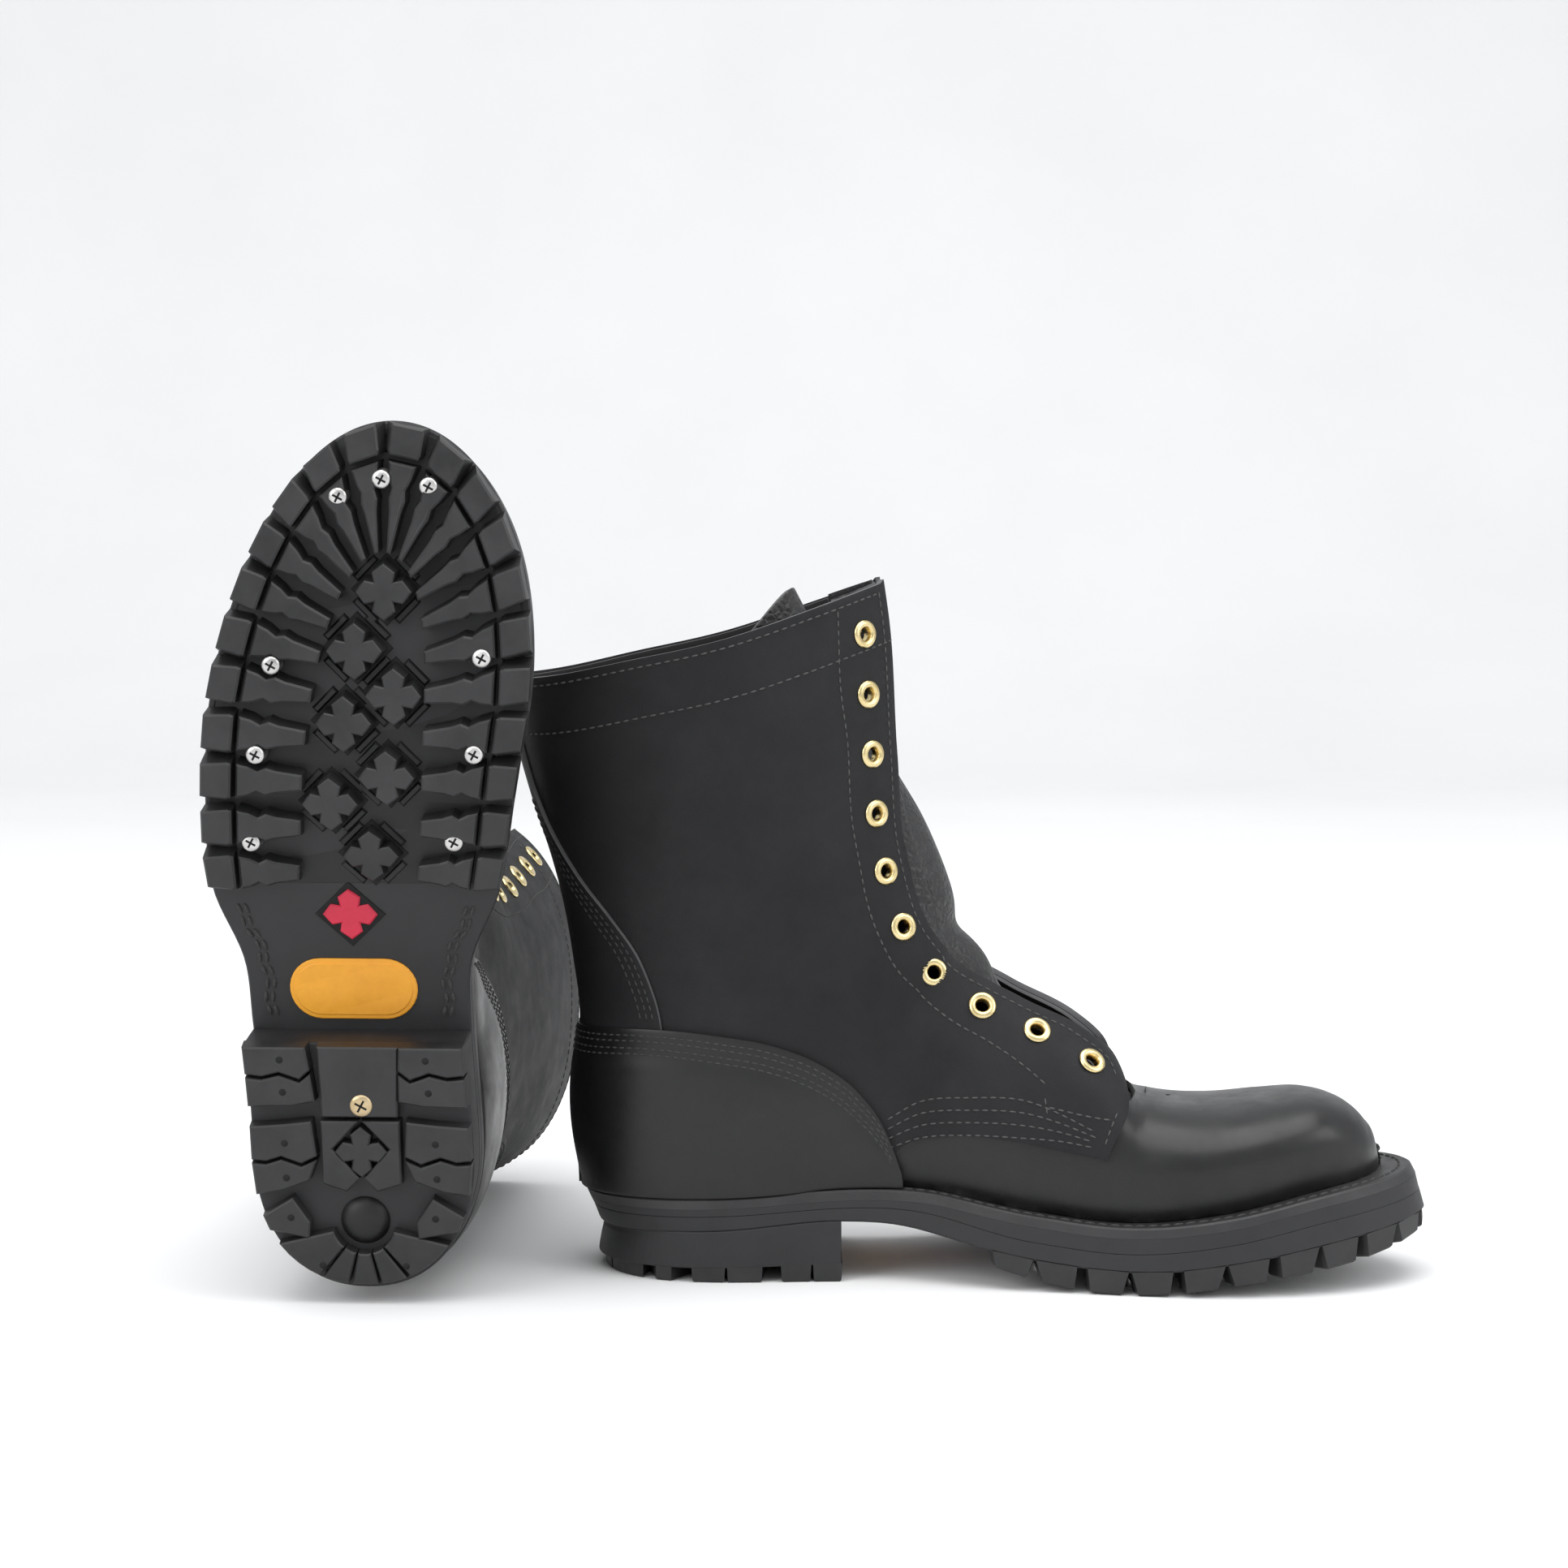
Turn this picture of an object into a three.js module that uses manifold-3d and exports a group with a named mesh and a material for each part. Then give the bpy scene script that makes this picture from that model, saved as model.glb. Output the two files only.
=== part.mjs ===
// A pair of ten-inch lug-soled fire boots, in millimetres, +Z up.
//
// Each boot is worked out once in its own frame: x runs from the rear of the heel seat to the toe,
// y is positive towards the inner side of the foot, z is the height above the floor. The right boot
// uses that frame as it is and the left boot is its mirror image. The left boot stands, the right boot
// lies on its back.

import * as THREE from 'three';
import { mergeVertices } from 'three/addons/utils/BufferGeometryUtils.js';
import Module from 'manifold-3d';

const wasm = await Module();
wasm.setup();

// Overall sizes
const soleLength = 315;
const heelWidth = 79.4;
const waistWidth = 82;
const ballWidth = 112.6;
const shaftFrontHeight = 258.8;
const shaftBackHeight = 222;
const ankleHeight = 117;

// Layers of the sole
const gap = 0.3;
const plyGap = 0.9;
const featherGap = 0.8;
const weltThickness = 3.8;
const midsoleHeelThickness = 2.6;
const midsoleBallThickness = 5.4;
const insoleThickness = 2.2;
const shankThickness = 1.3;
const shankWidth = 16;
const heelBreastX = 96.5;
const heelUndercut = 7;
const notchWidth = 7.5;
const notchDepth = 7;

// Leathers
const innerLeather = 2.2;
const quarterLeather = 2.2;
const backstayLeather = 1.6;
const stayLeather = 1.6;
const coverLeather = 2.8;
const puffThickness = 1.6;
const tongueThickness = 3;
const tongueWidth = 38;
const collarBandHeight = 21;
const backstayWidth = 18;
const backSeam = 0.15;
const counterThickness = 2;
const counterDepth = 1.2;
const puffDepth = 2.4;
const coverGap = 1.4;

// Eyelets
const eyeletCount = 10;
const eyeletPitch = 22;
const eyeletBore = 4.9;
const eyeletBarrel = 6.6;
const eyeletFlange = 10.4;
const eyeletFlangeThickness = 0.8;
const eyeletSides = 6;
const flangeLift = 0.7;
const barrelEnd = 0.6;
const tapeWidth = 7;
const tapeThickness = 0.6;
const tapeGap = 2.4;

// Tread
const lugCount = 22;
const lugGap = 5;
const plusSpan = 18;
const plusArm = 6.5;
const screwHead = 6.6;
const screwHeadThickness = 1.2;
const screwShank = 3;
const screwLength = 5;
const badgeLength = 23;
const badgeWidth = 46;
const badgeThickness = 1.5;

// The lying boot
const lean = THREE.MathUtils.degToRad(8.6);
const yaw = THREE.MathUtils.degToRad(3);
const heelSpacing = 76;
const lyingForward = 74;

// A smooth curve through points [x, y], as a function of x.
function curve(points) {
  const xs = points.map(point => point[0]);
  const ys = points.map(point => point[1]);
  const last = xs.length - 1;
  const rise = xs.slice(1).map((x, i) => (ys[i + 1] - ys[i]) / (x - xs[i]));
  const slopes = xs.map((x, i) => {
    if (i === 0) return rise[0];
    if (i === last) return rise[last - 1];
    const before = xs[i] - xs[i - 1];
    const after = xs[i + 1] - xs[i];
    return (rise[i - 1] * after + rise[i] * before) / (before + after);
  });
  return x => {
    if (x <= xs[0]) return ys[0];
    if (x >= xs[last]) return ys[last];
    let i = 0;
    while (x > xs[i + 1]) i += 1;
    const width = xs[i + 1] - xs[i];
    const t = (x - xs[i]) / width;
    const start = (1 + 2 * t) * (1 - t) ** 2 * ys[i] + t * (1 - t) ** 2 * width * slopes[i];
    const end = t * t * (3 - 2 * t) * ys[i + 1] + t * t * (t - 1) * width * slopes[i + 1];
    return start + end;
  };
}

// A smooth path through points [x, z], walked by its share of length.
function path(points) {
  const spline = new THREE.CatmullRomCurve3(points.map(([x, z]) => new THREE.Vector3(x, 0, z)));
  spline.arcLengthDivisions = 400;
  const walk = share => {
    const point = spline.getPointAt(THREE.MathUtils.clamp(share, 0, 1));
    return [point.x, point.z];
  };
  walk.span = spline.getLength();
  return walk;
}

const smoothstep = (low, high, x) => {
  const t = THREE.MathUtils.clamp((x - low) / (high - low), 0, 1);
  return t * t * (3 - 2 * t);
};

// Where f changes sign between a, where it is positive, and b, where it isn't.
function crossing(f, a, b) {
  let inside = a;
  let outside = b;
  for (let step = 0; step < 40; step += 1) {
    const middle = (inside + outside) / 2;
    if (f(middle) > 0) inside = middle;
    else outside = middle;
  }
  return (inside + outside) / 2;
}

// Stations are written as shares of the sole's length or of the shaft's height above the ankle.
const along = share => share * soleLength;
const up = share => ankleHeight + share * (shaftFrontHeight - ankleHeight);
const shareCurve = points => curve(points.map(([share, value]) => [along(share), value]));

// Plan of the sole: centre line and half width.
const heelCentre = along(0.175);
const ballCentre = along(0.682);
const centreLine = shareCurve([
  [0, 1.2], [0.19, 1.2], [0.36, -1], [0.48, 0.6], [0.6, 4.5], [0.75, 11], [0.86, 14.8], [1, 17.5],
]);
const sideWidth = shareCurve([
  [0.175, heelWidth / 2], [0.31, heelWidth / 2 - 0.1], [0.39, waistWidth / 2], [0.475, ballWidth * 0.452],
  [0.58, ballWidth * 0.483], [0.682, ballWidth / 2],
]);
const heelRoundness = 2.2;
const toeRoundness = 2;

function halfWidth(x, plan) {
  const side = sideWidth(THREE.MathUtils.clamp(x, heelCentre, ballCentre)) - plan.inset(x);
  if (x < heelCentre) {
    const t = Math.min(1, (heelCentre - x) / (heelCentre - plan.rear));
    return side * (1 - t ** heelRoundness) ** (1 / heelRoundness);
  }
  const t = Math.min(1, Math.max(0, (x - ballCentre) / (plan.front - ballCentre)));
  return side * (1 - t ** toeRoundness) ** (1 / toeRoundness);
}

// How far each layer's plan lies inside the widest outline. A plan also gives where it starts and ends.
const foreShare = x => smoothstep(along(0.3), along(0.5), x);
const upperInset = x => 8 + 3.3 * foreShare(x);
const treadPlan = { rear: heelUndercut, front: soleLength, inset: () => 0 };
const weltPlan = { rear: 0, front: soleLength - 5, inset: x => 1.5 * foreShare(x) };
const lastPlan = { rear: 6, front: soleLength - 19.2, inset: upperInset };
const weltInnerPlan = { rear: 16, front: soleLength - 33, inset: x => upperInset(x) + 9 };
const insolePlan = { rear: 16.3, front: soleLength - 33.3, inset: x => upperInset(x) + 9.3 };

// Heights of the sole's layers along the boot.
const weltTop = shareCurve([
  [0, 30.2], [0.175, 31.5], [0.335, 34.3], [0.413, 33.4], [0.53, 27.5], [0.63, 24.5], [0.75, 28.5],
  [0.857, 35.8], [0.985, 41.8],
]);
const treadBottom = shareCurve([
  [0.46, 10.5], [0.53, 4.3], [0.58, 1.2], [0.645, 0], [0.7, 1.6], [0.79, 6], [0.89, 11], [0.96, 16],
  [1, 19.5],
]);
const soleUnderside = shareCurve([
  [0, 17.6], [0.175, 19.3], [0.308, 22.5], [0.365, 21.6], [0.425, 18.1], [0.476, 14.6], [0.546, 10.8],
  [0.65, 8.5], [0.76, 12.4], [0.87, 18.8], [0.985, 24.8],
]);
const midsoleThickness = x => {
  const share = smoothstep(along(0.34), along(0.53), x);
  return midsoleHeelThickness + share * (midsoleBallThickness - midsoleHeelThickness);
};
const midsoleTop = x => weltTop(x) - weltThickness - gap;
const midsoleBottom = x => midsoleTop(x) - midsoleThickness(x);
const outsoleTop = x => midsoleBottom(x) - gap;

// The last, the shape that the upper is pulled over: positive inside, zero on its surface.
// The foot is a superellipse over each station x, the leg a superellipse at each height z.
const ridge = shareCurve([
  [0, 104], [0.34, 112], [0.4, 126], [0.44, 124.5], [0.48, 115], [0.52, 105.5], [0.56, 98.3],
  [0.5937, 90.8], [0.6127, 84], [0.6254, 78.5], [0.635, 73], [0.6444, 68.3], [0.654, 65.5],
  [0.678, 63.4], [0.708, 62.1], [0.756, 62.1], [0.813, 64.3], [0.862, 65.5], [0.887, 64],
  [0.905, 61.3], [0.922, 56.3], [0.933, 50.4], [0.9385, 42],
]);
const legBack = curve([
  [22, 9], [40, 4.4], [53, 2.3], [66, 1.7], [80, 2.9], [94, 4.4], [up(0), 2], [up(0.17), -2.3],
  [up(0.27), -6], [up(0.4), -12], [up(0.75), -25.1], [up(0.9), -30], [up(1), -33],
]);
const legFront = curve([
  [22, 108], [45, 120], [66, 130], [90, 138], [up(0), 141], [up(0.1), 135.8], [up(0.19), 128.3],
  [up(0.29), 123.8], [up(0.4), 121.5], [up(0.54), 119.6], [up(0.71), 118], [up(0.9), 115.8], [up(1), 113.9],
]);
const legHalfWidth = curve([
  [22, 31], [40, 33], [66, 34.5], [92, 34.5], [up(0), 36.5], [up(0.17), 39], [up(0.4), 43],
  [up(0.7), 46], [up(1), 47.5],
]);
const footRoundness = 2.5;
const legRoundness = 2.3;
const widestAboveWelt = 15;
const featherTuck = 0.12;
const ankleBlend = 0.12;

function lastField(x, y, z) {
  const aside = Math.abs(y - centreLine(x));
  const floor = weltTop(x);
  const widest = floor + widestAboveWelt;
  const footWidth = Math.max(0.01, halfWidth(x, lastPlan));
  const over = Math.max(0, z - widest) / Math.max(4, ridge(x) - widest);
  const under = Math.max(0, widest - z) / widestAboveWelt;
  const beyond = Math.max(0, lastPlan.rear - x, x - lastPlan.front);
  const foot = 1 - (aside / footWidth) ** footRoundness - over ** footRoundness - featherTuck * under ** 2
    - beyond;
  const middle = (legFront(z) + legBack(z)) / 2;
  const reach = (legFront(z) - legBack(z)) / 2;
  const leg = 1 - (aside / legHalfWidth(z)) ** legRoundness
    - (Math.abs(x - middle) / reach) ** legRoundness;
  return (foot + leg + Math.hypot(foot - leg, ankleBlend)) / 2;
}

// A point on the last seen from the side at (x, z), on the inner (+1) or outer (-1) side, moved out
// along the surface's normal, which never points down, so that leather meets the welt plumb.
function onLast(x, z, side, offset) {
  const centre = centreLine(x);
  const half = lastField(x, centre, z) > 0
    ? crossing(t => lastField(x, centre + t, z), 0, 90)
    : 0;
  const y = centre + side * half;
  const h = 0.2;
  const normal = new THREE.Vector3(
    lastField(x - h, y, z) - lastField(x + h, y, z),
    lastField(x, y - h, z) - lastField(x, y + h, z),
    lastField(x, y, z - h) - lastField(x, y, z + h),
  );
  normal.z = Math.max(0, normal.z);
  normal.normalize();
  return [x + offset * normal.x, y + offset * normal.y, z + offset * normal.z];
}

// Round the back of the leg, q is the distance from the back seam, positive on the inner side.
const wrapReach = 24;
const backLine = z => crossing(x => lastField(x, centreLine(x), z), legBack(z) + 30, legBack(z) - 20);
const wrap = q => (Math.abs(q) < wrapReach ? q * q / (2 * wrapReach) : Math.abs(q) - wrapReach / 2);
const unwrap = d => (d < wrapReach / 2 ? Math.sqrt(2 * wrapReach * Math.max(0, d)) : d + wrapReach / 2);
const onLeg = (q, z, offset) => onLast(backLine(z) + wrap(q), z, q < 0 ? -1 : 1, offset);
const toLeg = ([x, z]) => [unwrap(x - backLine(z)), z];

// Lines of the upper, seen from the side, as points [x, z].
const shaft = (x, share) => [x, up(share)];
const frontEdge = path([
  [along(0.614), 47.2], [along(0.631), 62.5], [along(0.627), 73], [along(0.6175), 80],
  [along(0.5865), 88.8], [along(0.511), 101.3], [along(0.432), 117.6], [along(0.402), 129.2],
  shaft(116.8, 0.29), shaft(113.4, 0.545), shaft(110, 0.903), shaft(108, 1),
]);
const stayEdge = path([
  [along(0.575), 70], [along(0.52), 79.3], [along(0.44), 95.6], [along(0.403), 104.1],
  [along(0.348), 126.3], shaft(101, 0.265), shaft(98.3, 0.37), shaft(93.9, 0.7), shaft(92, 1),
]);
const eyeletLine = path([
  shaft(101.7, 0.878), shaft(104.6, 0.58), shaft(108.5, 0.303), [along(0.368), 133.4],
  [along(0.408), 114.2], [along(0.466), 100.9], [along(0.53), 91.1], [along(0.6), 78.5],
]);
const collarTop = curve([
  [-40, shaftBackHeight], [-17, shaftBackHeight + 0.7], [21.1, up(0.8)], [53.4, up(0.853)],
  [83.8, up(0.927)], [111.8, up(1)],
]);
const quarterBottom = curve([
  [along(0.31), weltTop(along(0.31)) + featherGap], [along(0.345), 38.5], [along(0.375), 48.7],
  [along(0.43), 54.4], [along(0.504), 54.1], [along(0.562), 50.8], [along(0.6165), 47.8],
]);
const quarterFoot = x => (x < along(0.31) ? weltTop(x) + featherGap : quarterBottom(x));
const coverTop = curve([
  [0, 91], [26, 93.7], [53, 91.7], [70.6, 88.4], [88.2, 80.9], [along(0.322), 70.3], [along(0.3555), 56.9],
  [along(0.3756), 42.6], [along(0.382), 37],
]);
const backstayEdge = curve([
  [94, 39.5], [107, 37.5], [121, 34], [135, 27], [150, 19], [164, 13], [182, backstayWidth / 2],
]);
const counterTop = curve([[0, 84], [40, 83], [70, 74], [92, 56]]);
const tongueLine = path([
  [along(0.6485), 66.6], [along(0.628), 74.5], [along(0.6), 81.5], [along(0.56), 89.5], [along(0.52), 97.5],
  [along(0.497), 105.5], [along(0.478), 115], [along(0.451), 127], shaft(137, 0.185), shaft(131, 0.29),
  shaft(124.5, 0.4), shaft(117, 0.5), shaft(107, 0.62), shaft(96.5, 0.745), shaft(86.5, 0.86),
  shaft(79, 0.965),
]);

// Closed solid from rings of points, each ring a closed loop, the first and last rings capped.
// A ring may shrink to a line or a point, and its empty triangles are dropped.
function ringSolid(rings, closed = false) {
  const size = rings[0].length;
  const triangles = [];
  const spans = closed ? rings.length : rings.length - 1;
  for (let i = 0; i < spans; i += 1) {
    const next = (i + 1) % rings.length;
    for (let j = 0; j < size; j += 1) {
      const a = i * size + j;
      const b = i * size + ((j + 1) % size);
      const c = next * size + ((j + 1) % size);
      const d = next * size + j;
      triangles.push([a, b, c], [a, c, d]);
    }
  }
  if (!closed) {
    const end = (rings.length - 1) * size;
    for (let j = 1; j < size - 1; j += 1) {
      triangles.push([0, j + 1, j], [end, end + j, end + j + 1]);
    }
  }
  return weld(rings.flat(), triangles);
}

// One geometry from points and triangles: near points become one, faces point outwards.
function weld(points, triangles) {
  let geometry = new THREE.BufferGeometry();
  geometry.setAttribute('position', new THREE.Float32BufferAttribute(points.flat(), 3));
  geometry.setIndex(triangles.flat());
  geometry = mergeVertices(geometry, 2e-3);
  const index = Array.from(geometry.index.array);
  const kept = [];
  for (let i = 0; i < index.length; i += 3) {
    const [a, b, c] = index.slice(i, i + 3);
    if (a !== b && b !== c && c !== a) kept.push(a, b, c);
  }
  geometry.setIndex(kept);
  if (volume(geometry) < 0) turnInsideOut(geometry);
  return geometry;
}

function volume(geometry) {
  const position = geometry.attributes.position;
  const corner = [0, 1, 2].map(() => new THREE.Vector3());
  let total = 0;
  for (let i = 0; i < geometry.index.count; i += 3) {
    corner.forEach((point, k) => point.fromBufferAttribute(position, geometry.index.getX(i + k)));
    total += corner[0].dot(corner[1].clone().cross(corner[2])) / 6;
  }
  return total;
}

function turnInsideOut(geometry) {
  const index = geometry.index.array;
  for (let i = 0; i < index.length; i += 3) {
    [index[i + 1], index[i + 2]] = [index[i + 2], index[i + 1]];
  }
}

// A wall of leather: place(u, v, offset) gives its points, from the offset inside to the offset outside.
function leather(columns, rows, inside, outside, place) {
  const rings = [];
  for (let i = 0; i <= columns; i += 1) {
    const ring = [];
    for (let j = 0; j <= rows; j += 1) ring.push(place(i / columns, j / rows, inside));
    for (let j = rows; j >= 0; j -= 1) ring.push(place(i / columns, j / rows, outside));
    rings.push(ring);
  }
  return leatherSolid(rings, rows);
}

// As ringSolid, with each end closed by a strip between its inner and outer edge.
function leatherSolid(rings, rows) {
  const size = rings[0].length;
  const triangles = [];
  for (let i = 0; i < rings.length - 1; i += 1) {
    for (let j = 0; j < size; j += 1) {
      const a = i * size + j;
      const b = i * size + ((j + 1) % size);
      triangles.push([a, b, b + size], [a, b + size, a + size]);
    }
  }
  const end = (rings.length - 1) * size;
  for (let j = 0; j < rows; j += 1) {
    const opposite = size - 1 - j;
    triangles.push([j, opposite - 1, j + 1], [j, opposite, opposite - 1]);
    triangles.push([end + j, end + j + 1, end + opposite - 1]);
    triangles.push([end + j, end + opposite - 1, end + opposite]);
  }
  return weld(rings.flat(), triangles);
}

// Stations bunched towards the heel and the toe, where the outline turns.
const stations = (from, to, count) => Array.from(
  { length: count + 1 },
  (_, i) => from + (to - from) * (1 - Math.cos(Math.PI * i / count)) / 2,
);

const soleSteps = 20;

// A full layer of the sole between two heights, its lower and upper outline each on its own plan.
function soleLayer(lowPlan, highPlan, low, high) {
  const lows = stations(lowPlan.rear, lowPlan.front, soleSteps);
  const highs = stations(highPlan.rear, highPlan.front, soleSteps);
  const rings = lows.map((x, i) => {
    const top = highs[i];
    const lowHalf = halfWidth(x, lowPlan);
    const highHalf = halfWidth(top, highPlan);
    return [
      [x, centreLine(x) - lowHalf, low(x)],
      [x, centreLine(x) + lowHalf, low(x)],
      [top, centreLine(top) + highHalf, high(top)],
      [top, centreLine(top) - highHalf, high(top)],
    ];
  });
  return ringSolid(rings);
}

// A point of an outline: t runs from the heel along the inner side to the toe at 0.5, and back.
function outlinePoint(plan, t) {
  const inner = t <= 0.5;
  const share = inner ? t * 2 : 2 - t * 2;
  const x = plan.rear + (plan.front - plan.rear) * (1 - Math.cos(Math.PI * share)) / 2;
  return [x, centreLine(x) + (inner ? 1 : -1) * halfWidth(x, plan)];
}

// An upright prism on a flat outline, its two ends bent to the heights low and high.
function prism(outline, low, high) {
  const shape = new THREE.Shape(outline.map(([x, y]) => new THREE.Vector2(x, y)));
  const geometry = new THREE.ExtrudeGeometry(shape, { depth: 1, bevelEnabled: false });
  geometry.deleteAttribute('normal');
  geometry.deleteAttribute('uv');
  const merged = mergeVertices(geometry, 1e-3);
  const position = merged.attributes.position;
  for (let i = 0; i < position.count; i += 1) {
    const x = position.getX(i);
    position.setZ(i, position.getZ(i) < 0.5 ? low(x) : high(x));
  }
  if (volume(merged) < 0) turnInsideOut(merged);
  return merged;
}

const circle = (x, y, radius, sides) => Array.from({ length: sides }, (_, i) => {
  const angle = (i + 0.5) * 2 * Math.PI / sides;
  return [x + radius * Math.cos(angle), y + radius * Math.sin(angle)];
});

// Cuts reach from below the floor to above the sole, so that they open on both sides.
const belowFloor = () => -5;
const aboveSole = () => 60;

// Between three.js geometry and manifold solids.
function solid(geometry) {
  return new wasm.Manifold(new wasm.Mesh({
    numProp: 3,
    vertProperties: new Float32Array(geometry.attributes.position.array),
    triVerts: new Uint32Array(geometry.index.array),
  }));
}

// The largest of the separate bodies of a solid, without the crumbs that a cut leaves.
const largest = manifold => manifold.decompose().reduce((a, b) => (a.volume() > b.volume() ? a : b));

function geometryOf(manifold) {
  const mesh = manifold.getMesh();
  const geometry = new THREE.BufferGeometry();
  geometry.setAttribute('position', new THREE.BufferAttribute(new Float32Array(mesh.vertProperties), 3));
  geometry.setIndex(Array.from(mesh.triVerts));
  return geometry;
}

// The tread: lugs round the forepart, plus-shaped lugs down its middle, screws in the grooves.
const treadRear = along(0.475);
const fieldPlan = {
  centre: shareCurve([[0.45, 1], [0.54, 4.5], [0.65, 7.5], [0.86, 15]]),
  front: along(0.862),
  halfWidth: 22,
};
const plusLugs = [
  [0.819, 15.2], [0.755, 4.8], [0.706, 18.3], [0.676, 0.7], [0.6155, 15.1], [0.585, -5.1], [0.523, 7.9],
  [0.448, -2],
];
const screwPlaces = [
  [0.9213, -0.4], [0.94, 14.6], [0.932, 31], [0.74, -24.1], [0.748, 49], [0.642, -30.2], [0.643, 45.9],
  [0.54, -33.8], [0.5413, 37.5],
];
const heelScrewPlace = [0.238, 2];
const heelPlusPlace = [0.182, 1.3];

// Outline of the whole forepart from the inner waist round the toe to the outer waist, by share.
const foreOutline = (() => {
  const points = [];
  for (let i = 0; i <= 200; i += 1) {
    const [x, y] = outlinePoint(treadPlan, 0.15 + 0.7 * i / 200);
    if (x >= treadRear) points.push(new THREE.Vector3(x, y, 0));
  }
  return new THREE.CatmullRomCurve3(points);
})();
foreOutline.arcLengthDivisions = 800;

// The edge of the sunk field, walked the same way.
function fieldEdge(share) {
  const inner = share < 0.5;
  const t = inner ? share * 2 : 2 - share * 2;
  const x = treadRear + (fieldPlan.front - treadRear) * Math.sin(t * Math.PI / 2);
  const taper = Math.sqrt(Math.max(0, 1 - ((x - treadRear) / (fieldPlan.front - treadRear)) ** 4));
  return [x, fieldPlan.centre(x) + (inner ? 1 : -1) * fieldPlan.halfWidth * taper];
}

function edgeLug(number) {
  const start = number / lugCount;
  const end = (number + 1) / lugCount;
  const outerGap = lugGap / 2 / foreOutline.getLength();
  const innerGap = 0.22 / lugCount;
  const a = foreOutline.getPointAt(start + outerGap);
  const b = foreOutline.getPointAt(end - outerGap);
  const c = fieldEdge(end - innerGap);
  const d = fieldEdge(start + innerGap);
  return prism([[a.x, a.y], [b.x, b.y], c, d], treadBottom, x => soleUnderside(x) + 2);
}

function plusOutline(x, y, span, arm) {
  const points = [];
  for (let quarter = 0; quarter < 4; quarter += 1) {
    const cos = Math.cos(quarter * Math.PI / 2);
    const sin = Math.sin(quarter * Math.PI / 2);
    for (const [out, across] of [[arm / 2, -arm / 2], [span / 2, 0]]) {
      points.push([x + out * cos - across * sin, y + out * sin + across * cos]);
    }
  }
  return points;
}

const screwSeat = ([share]) => soleUnderside(along(share));
const fieldFloor = x => treadBottom(x) + 0.3;

function outsole() {
  let tread = solid(soleLayer(
    { ...treadPlan, rear: 1.5, front: soleLength - 0.5 },
    { ...weltPlan, front: soleLength - 3.5 },
    soleUnderside,
    outsoleTop,
  ));
  for (let number = 0; number < lugCount; number += 1) tread = tread.add(solid(edgeLug(number)));
  for (const [share, y] of plusLugs) {
    const outline = plusOutline(along(share), y, plusSpan, plusArm);
    tread = tread.add(solid(prism(outline, fieldFloor, x => soleUnderside(x) + 2)));
  }
  for (const [share, y] of screwPlaces) {
    const x = along(share);
    const clear = circle(x, y, screwHead / 2 + gap, 6);
    const hole = circle(x, y, screwShank / 2 + gap, 4);
    tread = tread.subtract(solid(prism(clear, belowFloor, () => screwSeat([share]))));
    tread = tread.subtract(solid(prism(hole, belowFloor, aboveSole)));
  }
  const heelHole = circle(along(heelScrewPlace[0]), heelScrewPlace[1], screwShank / 2 + gap, 6);
  tread = tread.subtract(solid(prism(heelHole, belowFloor, aboveSole)));
  const badgeSeat = stadium(badgeX, badgeY, badgeLength + 2 * gap, badgeWidth + 2 * gap);
  const badgeFloor = x => soleUnderside(x) + badgeThickness - 0.3;
  tread = tread.subtract(solid(prism(badgeSeat, belowFloor, badgeFloor)));
  return geometryOf(tread);
}

// A screw of the forepart: head below the groove's floor, shank up through the outsole.
function soleScrew([share, y]) {
  const x = along(share);
  const seat = screwSeat([share]);
  const headTop = seat - gap;
  const headBottom = headTop - screwHeadThickness;
  const head = prism(circle(x, y, screwHead / 2, 6), () => headBottom, () => headTop);
  const shank = prism(circle(x, y, screwShank / 2, 4), () => headTop - 0.5, () => seat + screwLength);
  return geometryOf(solid(head).add(solid(shank)));
}

const badgeX = along(0.356);
const badgeY = -2.8;

function stadium(x, y, length, width) {
  const radius = length / 2;
  const reach = width / 2 - radius;
  const points = [];
  for (let i = 0; i <= 6; i += 1) {
    const angle = Math.PI * i / 6;
    points.push([x + radius * Math.cos(angle), y + reach + radius * Math.sin(angle)]);
  }
  for (let i = 6; i <= 12; i += 1) {
    const angle = Math.PI * i / 6;
    points.push([x + radius * Math.cos(angle), y - reach + radius * Math.sin(angle)]);
  }
  return points;
}

const soleBadge = () => prism(
  stadium(badgeX, badgeY, badgeLength, badgeWidth),
  x => soleUnderside(x) - 0.6,
  x => soleUnderside(x) + badgeThickness - 0.6,
);

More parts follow.
